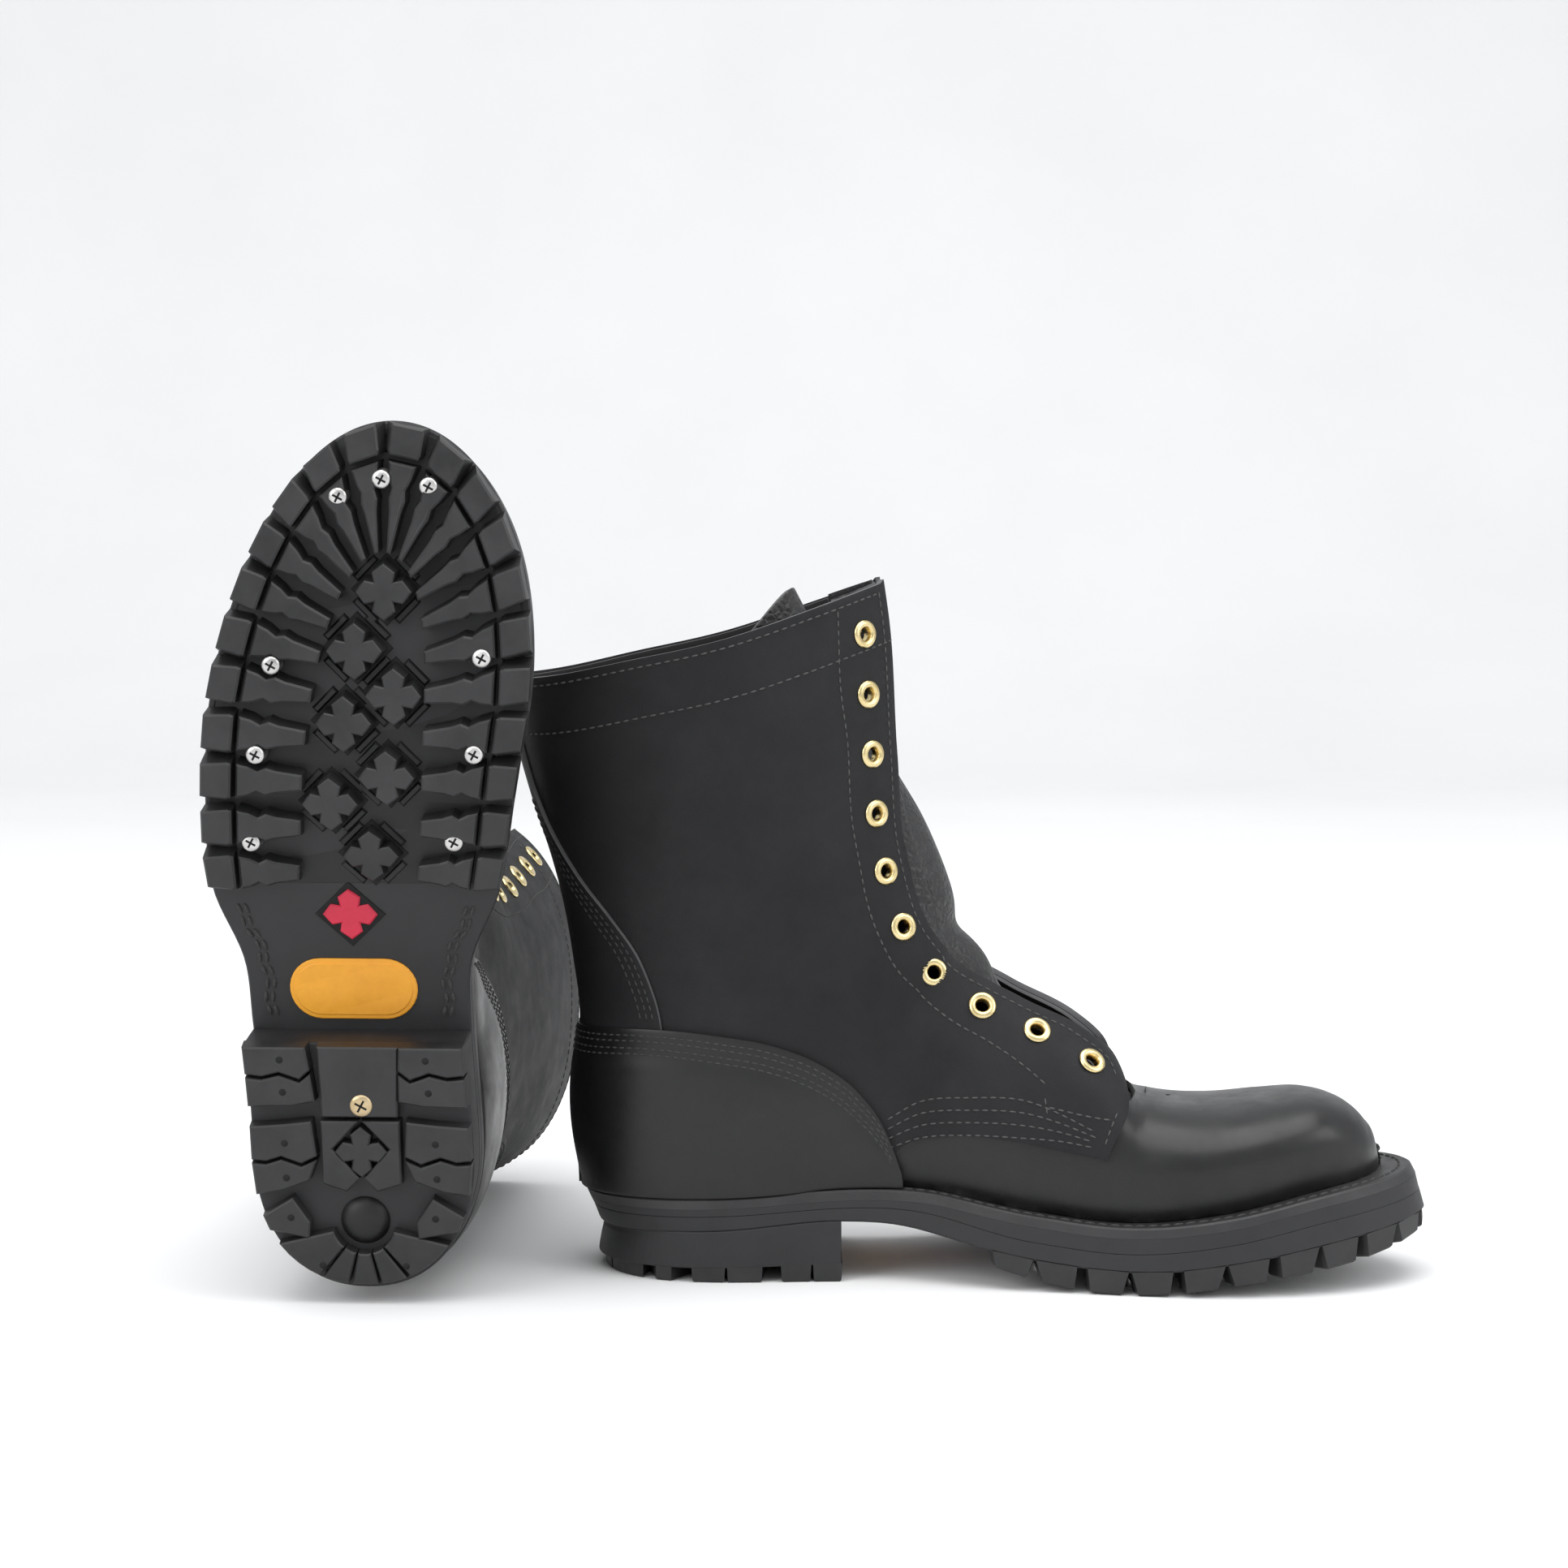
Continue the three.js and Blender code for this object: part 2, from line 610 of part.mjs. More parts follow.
// The heel block: rings of its outline from the tread up, undercut at the back, then its cuts.
function heelBlock() {
  const levels = [[0, 1], [0.3, 0.92], [0.62, 0.62], [1, 0]];
  const steps = 12;
  const rings = levels.map(([share, cut]) => {
    const plan = { rear: 0.5 + cut * (heelUndercut - 0.5), front: soleLength, inset: () => 0 };
    const twice = plan.rear + 2 * (heelBreastX - plan.rear);
    const xs = stations(plan.rear, twice, steps * 2).slice(0, steps + 1);
    const height = x => share * (soleUnderside(x) - 1.5 * gap);
    const inner = xs.map(x => [x, centreLine(x) + halfWidth(x, plan), height(x)]);
    const outer = xs.map(x => [x, centreLine(x) - halfWidth(x, plan), height(x)]).reverse();
    return [...outer.slice(0, -1), ...inner];
  });
  let block = solid(heelSolid(rings));
  const inset = 26;
  for (const side of [-1, 1]) {
    for (const [share, turn] of [[0.222, 0], [0.117, 0.5]]) {
      block = block.subtract(solid(notch(along(share), side, inset, turn)));
    }
  }
  const hollow = circle(along(0.088), 1.3, 13, 12);
  block = block.subtract(solid(prism(hollow, belowFloor, () => 4)));
  const [plusShare, plusY] = heelPlusPlace;
  const recess = circle(along(plusShare), plusY, plusSpan / 2 + 2, 4);
  block = block.subtract(solid(prism(recess, belowFloor, () => 4)));
  const plus = plusOutline(along(plusShare), plusY, plusSpan, plusArm);
  block = block.add(solid(prism(plus, () => 0.5, () => 6)));
  const [screwShare, screwY] = heelScrewPlace;
  const well = circle(along(screwShare), screwY, heelScrewHead / 2 + gap, 8);
  const hole = circle(along(screwShare), screwY, screwShank / 2 + gap, 6);
  block = block.subtract(solid(prism(well, belowFloor, () => heelScrewSeat)));
  block = block.subtract(solid(prism(hole, belowFloor, aboveSole)));
  return geometryOf(block);
}

const heelScrewHead = 9;
const heelScrewSeat = 2.6;

function heelScrew() {
  const [share, y] = heelScrewPlace;
  const x = along(share);
  const head = prism(circle(x, y, heelScrewHead / 2, 8), () => 0.8, () => heelScrewSeat - gap);
  const shank = prism(circle(x, y, screwShank / 2, 6), () => 1.5, () => soleUnderside(x) + 3);
  return geometryOf(solid(head).add(solid(shank)));
}

// Rings stacked upwards, capped by fans across their two sides.
function heelSolid(rings) {
  const size = rings[0].length;
  const triangles = [];
  for (let i = 0; i < rings.length - 1; i += 1) {
    for (let j = 0; j < size; j += 1) {
      const a = i * size + j;
      const b = i * size + ((j + 1) % size);
      triangles.push([a, b, b + size], [a, b + size, a + size]);
    }
  }
  const end = (rings.length - 1) * size;
  for (let j = 0; j < (size - 1) / 2; j += 1) {
    const opposite = size - 1 - j;
    triangles.push([j, opposite - 1, j + 1], [j, opposite, opposite - 1]);
    triangles.push([end + j, end + j + 1, end + opposite - 1]);
    triangles.push([end + j, end + opposite - 1, end + opposite]);
  }
  return weld(rings.flat(), triangles);
}

function notch(x, side, inset, turn) {
  const half = notchWidth / 2;
  const outer = centreLine(x) + side * (heelWidth / 2 + 8);
  const inner = centreLine(x) + side * (heelWidth / 2 - inset);
  const shift = turn * (heelWidth / 2 - inset);
  const outline = [
    [x - half - shift * 0.35, outer], [x + half - shift * 0.35, outer],
    [x + half + shift * 0.6, inner], [x - half + shift * 0.6, inner],
  ];
  return prism(outline, belowFloor, () => notchDepth);
}

// Inner pieces of the sole.
const midsole = () => soleLayer(weltPlan, weltPlan, midsoleBottom, midsoleTop);

function welt() {
  const strip = solid(soleLayer(weltPlan, weltPlan, x => weltTop(x) - weltThickness, weltTop));
  const inside = solid(soleLayer(weltInnerPlan, weltInnerPlan, belowFloor, aboveSole));
  return geometryOf(strip.subtract(inside));
}
const insole = () => soleLayer(insolePlan, insolePlan, x => weltTop(x) - insoleThickness, weltTop);

function shank() {
  const from = along(0.12);
  const to = along(0.5);
  const count = 8;
  const rings = Array.from({ length: count + 1 }, (_, i) => {
    const x = from + (to - from) * i / count;
    const low = weltTop(x) - weltThickness;
    const y = centreLine(x);
    return [
      [x, y - shankWidth / 2, low], [x, y + shankWidth / 2, low],
      [x, y + shankWidth / 2, low + shankThickness], [x, y - shankWidth / 2, low + shankThickness],
    ];
  });
  return ringSolid(rings);
}

// The vamp: lines from the ridge of the foot down to the welt, bowed back where they pass the ankle.
const vampRear = along(0.352);
const ridgeCentre = [along(0.745), 26];
const ridgeFrom = THREE.MathUtils.degToRad(13);
const ridgeTo = THREE.MathUtils.degToRad(126);

function ridgePoint(share) {
  const angle = ridgeFrom + (ridgeTo - ridgeFrom) * share;
  const at = r => [ridgeCentre[0] + r * Math.cos(angle), ridgeCentre[1] + r * Math.sin(angle)];
  const reach = crossing(r => {
    const [x, z] = at(r);
    return lastField(x, centreLine(x), z);
  }, 5, 110 - 58 * share);
  return at(reach);
}

const toePoint = ridgePoint(0);
const footSpread = 1.3;
const bowBack = 16;
const bowUp = 24;

function onVamp(sigma, tau, offset) {
  const [topX, topZ] = ridgePoint(sigma);
  const footX = toePoint[0] - (toePoint[0] - vampRear) * sigma ** footSpread;
  const footZ = sigma === 0 ? toePoint[1] : weltTop(footX) + featherGap;
  const bow = smoothstep(0.35, 1, sigma);
  const bowX = (topX + footX) / 2 - bowBack * bow;
  const bowZ = (topZ + footZ) / 2 + bowUp * bow;
  const t = tau * tau;
  const x = (1 - t) ** 2 * topX + 2 * t * (1 - t) * bowX + t * t * footX;
  const z = (1 - t) ** 2 * topZ + 2 * t * (1 - t) * bowZ + t * t * footZ;
  return onLast(x, z, sigma === 0 ? 0 : Math.sign(tau), offset);
}

// The vamp makes room for the quarters that lie over its rear edge.
function vamp() {
  const sheet = leather(12, 12, 0, innerLeather, (u, v, offset) => (
    onVamp(1 - (1 - u) ** footSpread, 2 * v - 1, offset)
  ));
  const cut = [-1, 1].reduce(
    (rest, side) => rest.subtract(solid(quarterSheet(side, quarterInside - gap, quarterOutside + 1))),
    solid(sheet),
  );
  return geometryOf(largest(cut));
}

// The stiffener inside the toe, a little behind its tip and clear of the welt.
const toePuff = () => leather(5, 8, -puffDepth - puffThickness, -puffDepth, (u, v, offset) => (
  onVamp(0.2 + 0.24 * u, 0.9 * (2 * v - 1), offset)
));

// Quarters: a patch between the back seam, the front edge, the lower edge and the collar.
const quarterInside = innerLeather + plyGap;
const quarterOutside = quarterInside + quarterLeather;

function patch(left, right, bottom, top) {
  return (a, b) => {
    const corner = [left(0), right(0), left(1), right(1)];
    return [0, 1].map(k => (1 - a) * left(b)[k] + a * right(b)[k]
      + (1 - b) * bottom(a)[k] + b * top(a)[k]
      - (1 - a) * (1 - b) * corner[0][k] - a * (1 - b) * corner[1][k]
      - (1 - a) * b * corner[2][k] - a * b * corner[3][k]);
  };
}

// The height of a line given by x, for a distance q round from the back seam.
function legLine(q, line) {
  let z = line(wrap(q));
  for (let step = 0; step < 6; step += 1) z = line(backLine(z) + wrap(q));
  return [q, z];
}

const quarterPatch = (() => {
  const lowest = legLine(backSeam, quarterFoot);
  const highest = legLine(backSeam, collarTop);
  const cornerLow = toLeg(frontEdge(0));
  const cornerHigh = toLeg(frontEdge(1));
  const left = b => [backSeam, lowest[1] + (highest[1] - lowest[1]) * b];
  const right = b => toLeg(frontEdge(b));
  const bottom = a => (a === 1
    ? cornerLow
    : legLine(backSeam + (cornerLow[0] - backSeam) * a, quarterFoot));
  const top = a => (a === 1
    ? cornerHigh
    : legLine(backSeam + (cornerHigh[0] - backSeam) * a, collarTop));
  return patch(left, right, bottom, top);
})();

function quarterSheet(side, inside, outside) {
  return leather(11, 10, inside, outside, (u, v, offset) => {
    const [q, z] = quarterPatch(u ** 1.15, v);
    return onLeg(side * q, z, offset);
  });
}

function quarter(side) {
  let sheet = eyeletHoles(solid(quarterSheet(side, quarterInside, quarterOutside)), side, eyeletSides);
  const room = circle(0, 0, eyeletFlange / 2 + gap, eyeletSides);
  for (let number = 0; number < eyeletCount; number += 1) {
    const disc = prism(room, () => flangeLift - gap, () => 6);
    sheet = sheet.subtract(solid(seated(disc, eyeletSeat(number, side))));
  }
  return geometryOf(sheet);
}

// Eyelet stays: the strip behind the eyelets, inside the quarter, cut clear of it and of the tape.
function eyeletStay(side) {
  const sheet = leather(1, 14, 0, stayLeather, (u, v, offset) => {
    const [rearX, rearZ] = stayEdge(v);
    const [frontX, frontZ] = frontEdge(0.11 + 0.89 * v);
    const x = rearX + (frontX - rearX) * u;
    const z = rearZ + (frontZ - rearZ) * u;
    return onLast(x, z, side, offset);
  });
  const room = solid(eyeletTape(side, gap));
  const cover = solid(quarterSheet(side, quarterInside - gap, quarterOutside));
  return geometryOf(largest(eyeletHoles(solid(sheet), side, 4).subtract(room).subtract(cover)));
}

// The middle and the direction of each eyelet on the outside of the quarter.
function eyeletSeat(number, side) {
  const start = (eyeletLine.span - (eyeletCount - 1) * eyeletPitch) / 2;
  const [x, z] = eyeletLine((start + number * eyeletPitch) / eyeletLine.span);
  const outside = new THREE.Vector3(...onLast(x, z, side, quarterOutside));
  const inside = new THREE.Vector3(...onLast(x, z, side, 0));
  return { outside, out: outside.clone().sub(inside).normalize() };
}

// A round bar or tube along +Z, from low to high, set on an eyelet's seat.
function seated(geometry, seat) {
  const turn = new THREE.Quaternion().setFromUnitVectors(new THREE.Vector3(0, 0, 1), seat.out);
  geometry.applyMatrix4(new THREE.Matrix4().compose(seat.outside, turn, new THREE.Vector3(1, 1, 1)));
  return geometry;
}

const barrelDepth = quarterOutside + tapeGap + tapeThickness + barrelEnd;

function eyeletHoles(sheet, side, sides) {
  let cut = sheet;
  const radius = (eyeletBarrel / 2 + 0.5 * gap) / Math.cos(Math.PI / sides);
  for (let number = 0; number < eyeletCount; number += 1) {
    const bar = prism(circle(0, 0, radius, sides), () => -barrelDepth - 1, () => 6);
    cut = cut.subtract(solid(seated(bar, eyeletSeat(number, side))));
  }
  return cut;
}

// One eyelet, its section turned round +Z: barrel below, flange above.
function eyeletShape() {
  const section = [
    [eyeletBore / 2, -barrelDepth], [eyeletBarrel / 2, -barrelDepth], [eyeletBarrel / 2, flangeLift],
    [eyeletFlange / 2, flangeLift], [eyeletBore / 2, flangeLift + eyeletFlangeThickness],
  ];
  const rings = Array.from({ length: eyeletSides }, (_, i) => {
    const angle = (i + 0.5) * 2 * Math.PI / eyeletSides;
    return section.map(([r, z]) => [r * Math.cos(angle), r * Math.sin(angle), z]);
  });
  return ringSolid(rings, true);
}

// The tape behind the stay that holds a row of ten eyelets together.
function eyeletTape(side, swell) {
  const inside = -tapeGap - tapeThickness - swell;
  return leather(1, 12, inside, swell - tapeGap, (u, v, offset) => {
    const [x, z] = eyeletLine(v);
    const [nextX, nextZ] = eyeletLine(Math.min(1, v + 0.01));
    const [lastX, lastZ] = eyeletLine(Math.max(0, v - 0.01));
    const length = Math.hypot(nextX - lastX, nextZ - lastZ);
    const shift = (tapeWidth + 2 * swell) * (u - 0.5);
    const across = [x - shift * (nextZ - lastZ) / length, z + shift * (nextX - lastX) / length];
    return onLast(...across, side, offset);
  });
}

// Ten eyelets, each a barrel with a flange.
function eyelets(side) {
  let row = solid(eyeletTape(side, 0));
  for (let number = 0; number < eyeletCount; number += 1) {
    const seat = eyeletSeat(number, side);
    const bore = prism(circle(0, 0, eyeletBore / 2 + 0.4, eyeletSides), () => -2 * barrelDepth, () => 20);
    row = row.subtract(solid(seated(bore, seat))).add(solid(seated(eyeletShape(), seat)));
  }
  return geometryOf(row);
}

// Pieces that go round the back of the boot.
const coverInside = quarterOutside + coverGap;

function aroundBack(columns, rows, inside, outside, reach, low, high) {
  return leather(columns, rows, inside, outside, (u, v, offset) => {
    const q = reach * (2 * u - 1);
    const bottom = legLine(q, low)[1];
    const top = legLine(q, high)[1];
    return onLeg(q, bottom + (top - bottom) * v, offset);
  });
}

const counterReach = unwrap(90);
const coverReach = unwrap(along(0.381) - 5);
const bandReach = unwrap(116);
const featherHeight = x => weltTop(x) + featherGap;
const heelCounter = () => aroundBack(
  12, 2, -counterDepth, counterThickness - counterDepth, counterReach, featherHeight, counterTop,
);
const counterCover = () => aroundBack(
  22, 3, coverInside, coverInside + coverLeather, coverReach, featherHeight, coverTop,
);
const collarBand = () => aroundBack(
  16, 1, gap, innerLeather, bandReach, x => collarTop(x) - collarBandHeight, x => collarTop(x) - 0.5,
);

function backstay() {
  const low = coverTop(0) + 4;
  const high = shaftBackHeight;
  return leather(10, 8, coverInside, coverInside + backstayLeather, (u, v, offset) => {
    const z = low + (high - low) * v;
    return onLeg(backstayEdge(z) * (2 * u - 1), z, offset);
  });
}

// The tongue: a strip along its side line, arched across its width.
function tongue() {
  const archDrop = 3;
  return leather(14, 2, -tongueThickness, 0, (u, v, offset) => {
    const [x, z] = tongueLine(u);
    const [nextX, nextZ] = tongueLine(Math.min(1, u + 0.01));
    const [lastX, lastZ] = tongueLine(Math.max(0, u - 0.01));
    const length = Math.hypot(nextX - lastX, nextZ - lastZ);
    const outX = (nextZ - lastZ) / length;
    const outZ = -(nextX - lastX) / length;
    const across = 2 * v - 1;
    const away = offset - archDrop * across * across;
    return [x + away * outX, centreLine(x) + across * tongueWidth / 2, z + away * outZ];
  });
}

// Finishes
const finish = (color, roughness, metalness = 0) => (
  new THREE.MeshStandardMaterial({ color, roughness, metalness })
);
const smoothLeather = finish(0x3c3c3f, 0.45);
const shaftLeather = finish(0x323234, 0.6);
const softLeather = finish(0x3a3a3c, 0.7);
const blackRubber = finish(0x2b2b2d, 0.75);
const edgeLeather = finish(0x333335, 0.65);
const plainLeather = finish(0x8a6a48, 0.8);
const brass = finish(0xc8a24a, 0.3, 1);
const steel = finish(0xb8b8bc, 0.35, 1);
const amber = finish(0xf0b23c, 0.5);

const pieces = [
  ['outsole', outsole(), blackRubber],
  ['heel_block', heelBlock(), blackRubber],
  ['sole_badge', soleBadge(), amber],
  ['heel_screw', heelScrew(), brass],
  ...screwPlaces.map((place, i) => [`sole_screw_${i + 1}`, soleScrew(place), steel]),
  ['midsole', midsole(), edgeLeather],
  ['welt', welt(), edgeLeather],
  ['insole', insole(), plainLeather],
  ['shank', shank(), steel],
  ['vamp', vamp(), smoothLeather],
  ['toe_puff', toePuff(), plainLeather],
  ['quarter_outer', quarter(-1), shaftLeather],
  ['quarter_inner', quarter(1), shaftLeather],
  ['eyelet_stay_outer', eyeletStay(-1), shaftLeather],
  ['eyelet_stay_inner', eyeletStay(1), shaftLeather],
  ['eyelets_outer', eyelets(-1), brass],
  ['eyelets_inner', eyelets(1), brass],
  ['heel_counter', heelCounter(), plainLeather],
  ['counter_cover', counterCover(), smoothLeather],
  ['backstay', backstay(), shaftLeather],
  ['collar_band', collarBand(), shaftLeather],
  ['tongue', tongue(), softLeather],
];

function mirrored(geometry) {
  const copy = geometry.clone();
  copy.scale(1, -1, 1);
  turnInsideOut(copy);
  return copy;
}

function boot(name, shapeOf) {
  const group = new THREE.Group();
  for (const [piece, geometry, material] of pieces) {
    const mesh = new THREE.Mesh(shapeOf(geometry), material);
    mesh.name = `${name}_${piece}`;
    group.add(mesh);
  }
  return group;
}

const leftBoot = boot('left', mirrored);
const rightBoot = boot('right', geometry => geometry);

// Laid on its back: the toe points up and the sole faces -Y, leaning over it by the lean.
const laid = new THREE.Matrix4().makeBasis(
  new THREE.Vector3(0, -Math.sin(lean), Math.cos(lean)),
  new THREE.Vector3(1, 0, 0),
  new THREE.Vector3(0, Math.cos(lean), Math.sin(lean)),
);
rightBoot.quaternion.setFromRotationMatrix(new THREE.Matrix4().makeRotationZ(-yaw).multiply(laid));
rightBoot.position.set(-heelSpacing, -lyingForward, 0);
rightBoot.position.z = -new THREE.Box3().setFromObject(rightBoot, true).min.z;

const pair = new THREE.Group();
pair.add(leftBoot, rightBoot);
const box = new THREE.Box3().setFromObject(pair, true);
pair.position.set(-(box.min.x + box.max.x) / 2, -(box.min.y + box.max.y) / 2, -box.min.z);
pair.updateMatrixWorld(true);

export default pair;
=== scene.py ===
"""The looks of a pair of black leather fire boots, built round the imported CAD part.

Each boot is worked out in millimetres in its own frame, as its CAD solids are: x runs from the rear of the
heel seat to the toe, y is positive towards the inner side of the foot, z is the height above the floor.
Boot.world takes those points to the row's frame in metres.
"""

import math

import bpy
import numpy as np
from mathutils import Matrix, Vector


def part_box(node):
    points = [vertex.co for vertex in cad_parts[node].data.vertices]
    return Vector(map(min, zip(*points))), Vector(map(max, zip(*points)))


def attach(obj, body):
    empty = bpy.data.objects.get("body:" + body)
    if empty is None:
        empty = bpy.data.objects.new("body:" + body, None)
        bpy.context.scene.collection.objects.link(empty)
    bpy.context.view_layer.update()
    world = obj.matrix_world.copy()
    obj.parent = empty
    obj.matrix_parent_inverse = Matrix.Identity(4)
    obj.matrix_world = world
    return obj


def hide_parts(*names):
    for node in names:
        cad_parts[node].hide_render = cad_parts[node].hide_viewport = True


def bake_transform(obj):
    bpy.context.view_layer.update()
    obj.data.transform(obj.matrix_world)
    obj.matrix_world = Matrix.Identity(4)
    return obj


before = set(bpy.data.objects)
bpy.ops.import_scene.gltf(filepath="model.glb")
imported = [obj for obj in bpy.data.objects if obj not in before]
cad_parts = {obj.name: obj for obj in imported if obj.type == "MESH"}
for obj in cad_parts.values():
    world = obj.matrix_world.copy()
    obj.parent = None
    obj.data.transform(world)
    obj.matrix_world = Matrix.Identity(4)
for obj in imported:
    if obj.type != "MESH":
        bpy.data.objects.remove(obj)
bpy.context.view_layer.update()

# ---------------------------------------------------------------------------------------------------------
# Driving sizes, in millimetres
SOLE_LENGTH = 315.0
HEEL_WIDTH = 79.4
WAIST_WIDTH = 82.0
BALL_WIDTH = 112.6
SHAFT_FRONT = 258.8
SHAFT_BACK = 222.0
ANKLE = 117.0
WELT_THICKNESS = 3.8
HEEL_BREAST = 96.5

# How far each layer's outer face is from the last, and how thick the layer is
VAMP_OUTSIDE = 2.2
VAMP_LEATHER = 1.9
QUARTER_OUTSIDE = 4.7
QUARTER_LEATHER = 2.2
COVER_OUTSIDE = 7.3
COVER_LEATHER = 2.4
BACKSTAY_OUTSIDE = 6.4
BACKSTAY_LEATHER = 1.6
LINING_OUTSIDE = 2.3
LINING_LEATHER = 1.4
TONGUE_LEATHER = 2.6
TONGUE_HALF = 19.0
GUSSET_LEATHER = 1.2

EYELET_COUNT = 10
EYELET_PITCH = 22.0
EYELET_BORE = 2.6
EYELET_FLANGE = 5.2
EYELET_HOLE = 3.9

# How the lying boot leans back and turns, and how far it is from the standing one
LEAN = math.radians(8.6)
YAW = math.radians(3.0)
HEEL_SPACING = 76.0
LYING_FORWARD = 74.0


# ---------------------------------------------------------------------------------------------------------
# Curves
PATH_POINTS = 600
HALVINGS = 32


def curve(points):
    """A smooth function through points (x, y): cubic pieces whose slope at a point is the mean of the
    slopes on either side, each weighted by the other's width."""
    xs = np.array([p[0] for p in points], float)
    ys = np.array([p[1] for p in points], float)
    rise = np.diff(ys) / np.diff(xs)
    slopes = np.empty(len(xs))
    slopes[0] = rise[0]
    slopes[-1] = rise[-1]
    before = np.diff(xs)[:-1]
    after = np.diff(xs)[1:]
    slopes[1:-1] = (rise[:-1] * after + rise[1:] * before) / (before + after)

    def value(x):
        x = np.clip(x, xs[0], xs[-1])
        i = np.clip(np.searchsorted(xs, x, side="right") - 1, 0, len(xs) - 2)
        width = xs[i + 1] - xs[i]
        t = (x - xs[i]) / width
        start = (1 + 2 * t) * (1 - t) ** 2 * ys[i] + t * (1 - t) ** 2 * width * slopes[i]
        end = t * t * (3 - 2 * t) * ys[i + 1] + t * t * (t - 1) * width * slopes[i + 1]
        return start + end

    return value


def path(points):
    """A smooth path through points [x, z], walked by its share of length, 0 to 1."""
    points = np.array(points, float)
    reach = np.concatenate([[0], np.cumsum(np.hypot(*np.diff(points, axis=0).T))])
    x_of = curve(list(zip(reach, points[:, 0])))
    z_of = curve(list(zip(reach, points[:, 1])))
    fine = np.linspace(0, reach[-1], PATH_POINTS)
    spots = np.stack([x_of(fine), z_of(fine)], -1)
    walked = np.concatenate([[0], np.cumsum(np.hypot(*np.diff(spots, axis=0).T))])

    def walk(share):
        at = np.clip(share, 0, 1) * walked[-1]
        return np.interp(at, walked, spots[:, 0]), np.interp(at, walked, spots[:, 1])

    walk.span = walked[-1]
    return walk


def smoothstep(low, high, x):
    """0 up to low, 1 from high, and a smooth rise between."""
    t = np.clip((x - low) / (high - low), 0, 1)
    return t * t * (3 - 2 * t)


def crossing(f, a, b):
    """Where f changes sign between a, where it is positive, and b, where it isn't, by halving."""
    a, b = np.broadcast_arrays(np.asarray(a, float), np.asarray(b, float))
    inside = a.copy()
    outside = b.copy()
    for _ in range(HALVINGS):
        middle = (inside + outside) / 2
        positive = f(middle) > 0
        inside = np.where(positive, middle, inside)
        outside = np.where(positive, outside, middle)
    return (inside + outside) / 2


def along(share):
    """A place given as a share of the sole's length."""
    return share * SOLE_LENGTH


def up(share):
    """A height given as a share of the way from the ankle to the shaft's front corner."""
    return ANKLE + share * (SHAFT_FRONT - ANKLE)


def share_curve(points):
    return curve([(along(share), value) for share, value in points])


# ---------------------------------------------------------------------------------------------------------
# Plan and heights of the sole
HEEL_CENTRE = along(0.175)
BALL_CENTRE = along(0.682)
HEEL_POWER = 2.2
centre_line = share_curve([
    (0, 1.2), (0.19, 1.2), (0.36, -1), (0.48, 0.6), (0.6, 4.5), (0.75, 11), (0.86, 14.8), (1, 17.5)])
side_width = share_curve([
    (0.175, HEEL_WIDTH / 2), (0.31, HEEL_WIDTH / 2 - 0.1), (0.39, WAIST_WIDTH / 2),
    (0.475, BALL_WIDTH * 0.452), (0.58, BALL_WIDTH * 0.483), (0.682, BALL_WIDTH / 2)])
welt_top = share_curve([
    (0, 30.2), (0.175, 31.5), (0.335, 34.3), (0.413, 33.4), (0.53, 27.5), (0.63, 24.5), (0.75, 28.5),
    (0.857, 35.8), (0.985, 41.8)])
tread_bottom = share_curve([
    (0.46, 10.5), (0.53, 4.3), (0.58, 1.2), (0.645, 0), (0.7, 1.6), (0.79, 6), (0.89, 11), (0.96, 16),
    (1, 19.5)])
sole_underside = share_curve([
    (0, 17.6), (0.175, 19.3), (0.308, 22.5), (0.365, 21.6), (0.425, 18.1), (0.476, 14.6), (0.546, 10.8),
    (0.65, 8.5), (0.76, 12.4), (0.87, 18.8), (0.985, 24.8)])


def plan_half(x, rear, front, inset):
    """Half width of the sole at x: the side's width, closed by a superellipse at the heel and the toe."""
    side = side_width(np.clip(x, HEEL_CENTRE, BALL_CENTRE)) - inset
    heel = np.clip((HEEL_CENTRE - x) / (HEEL_CENTRE - rear), 0, 1)
    toe = np.clip((x - BALL_CENTRE) / (front - BALL_CENTRE), 0, 1)
    return side * (1 - heel ** HEEL_POWER) ** (1 / HEEL_POWER) * (1 - toe ** 2) ** 0.5


def forepart(x):
    """0 at the heel and 1 at the forepart, with a smooth rise along the waist."""
    return smoothstep(along(0.3), along(0.5), x)


def last_inset(x):
    """How far the last is inside the sole's edge."""
    return 8 + 3.3 * forepart(x)


def edge_inset(x):
    """How far the welt's edge is inside the tread's."""
    return 1.5 * forepart(x)


def zero(x):
    return 0 * x


def level(height):
    """A height that is the same at every x."""
    return lambda x: 0 * x + height


def above(line, height):
    """A line moved up by height, or down where height is negative."""
    return lambda x: line(x) + height


def outline(t, rear, front, inset):
    """Points round the sole: t runs from the heel along the inner side to the toe at 0.5, and back to the
    heel along the outer side. inset is a function of x."""
    inner = t <= 0.5
    share = np.where(inner, t * 2, 2 - t * 2)
    x = rear + (front - rear) * (1 - np.cos(np.pi * share)) / 2
    half = plan_half(x, rear, front, inset(x))
    return np.stack([x, centre_line(x) + np.where(inner, 1, -1) * half], -1)


# ---------------------------------------------------------------------------------------------------------
# The last: the shape that the upper is pulled over
LAST_REAR = 6.0
LAST_FRONT = SOLE_LENGTH - 19.2
BEYOND_LAST = 90.0
# Where the foot is widest: this high above the welt, and near the toe's end only that high
BELLY = 15.0
TOE_BELLY = 1.0
TOE_ROUND = 26.0
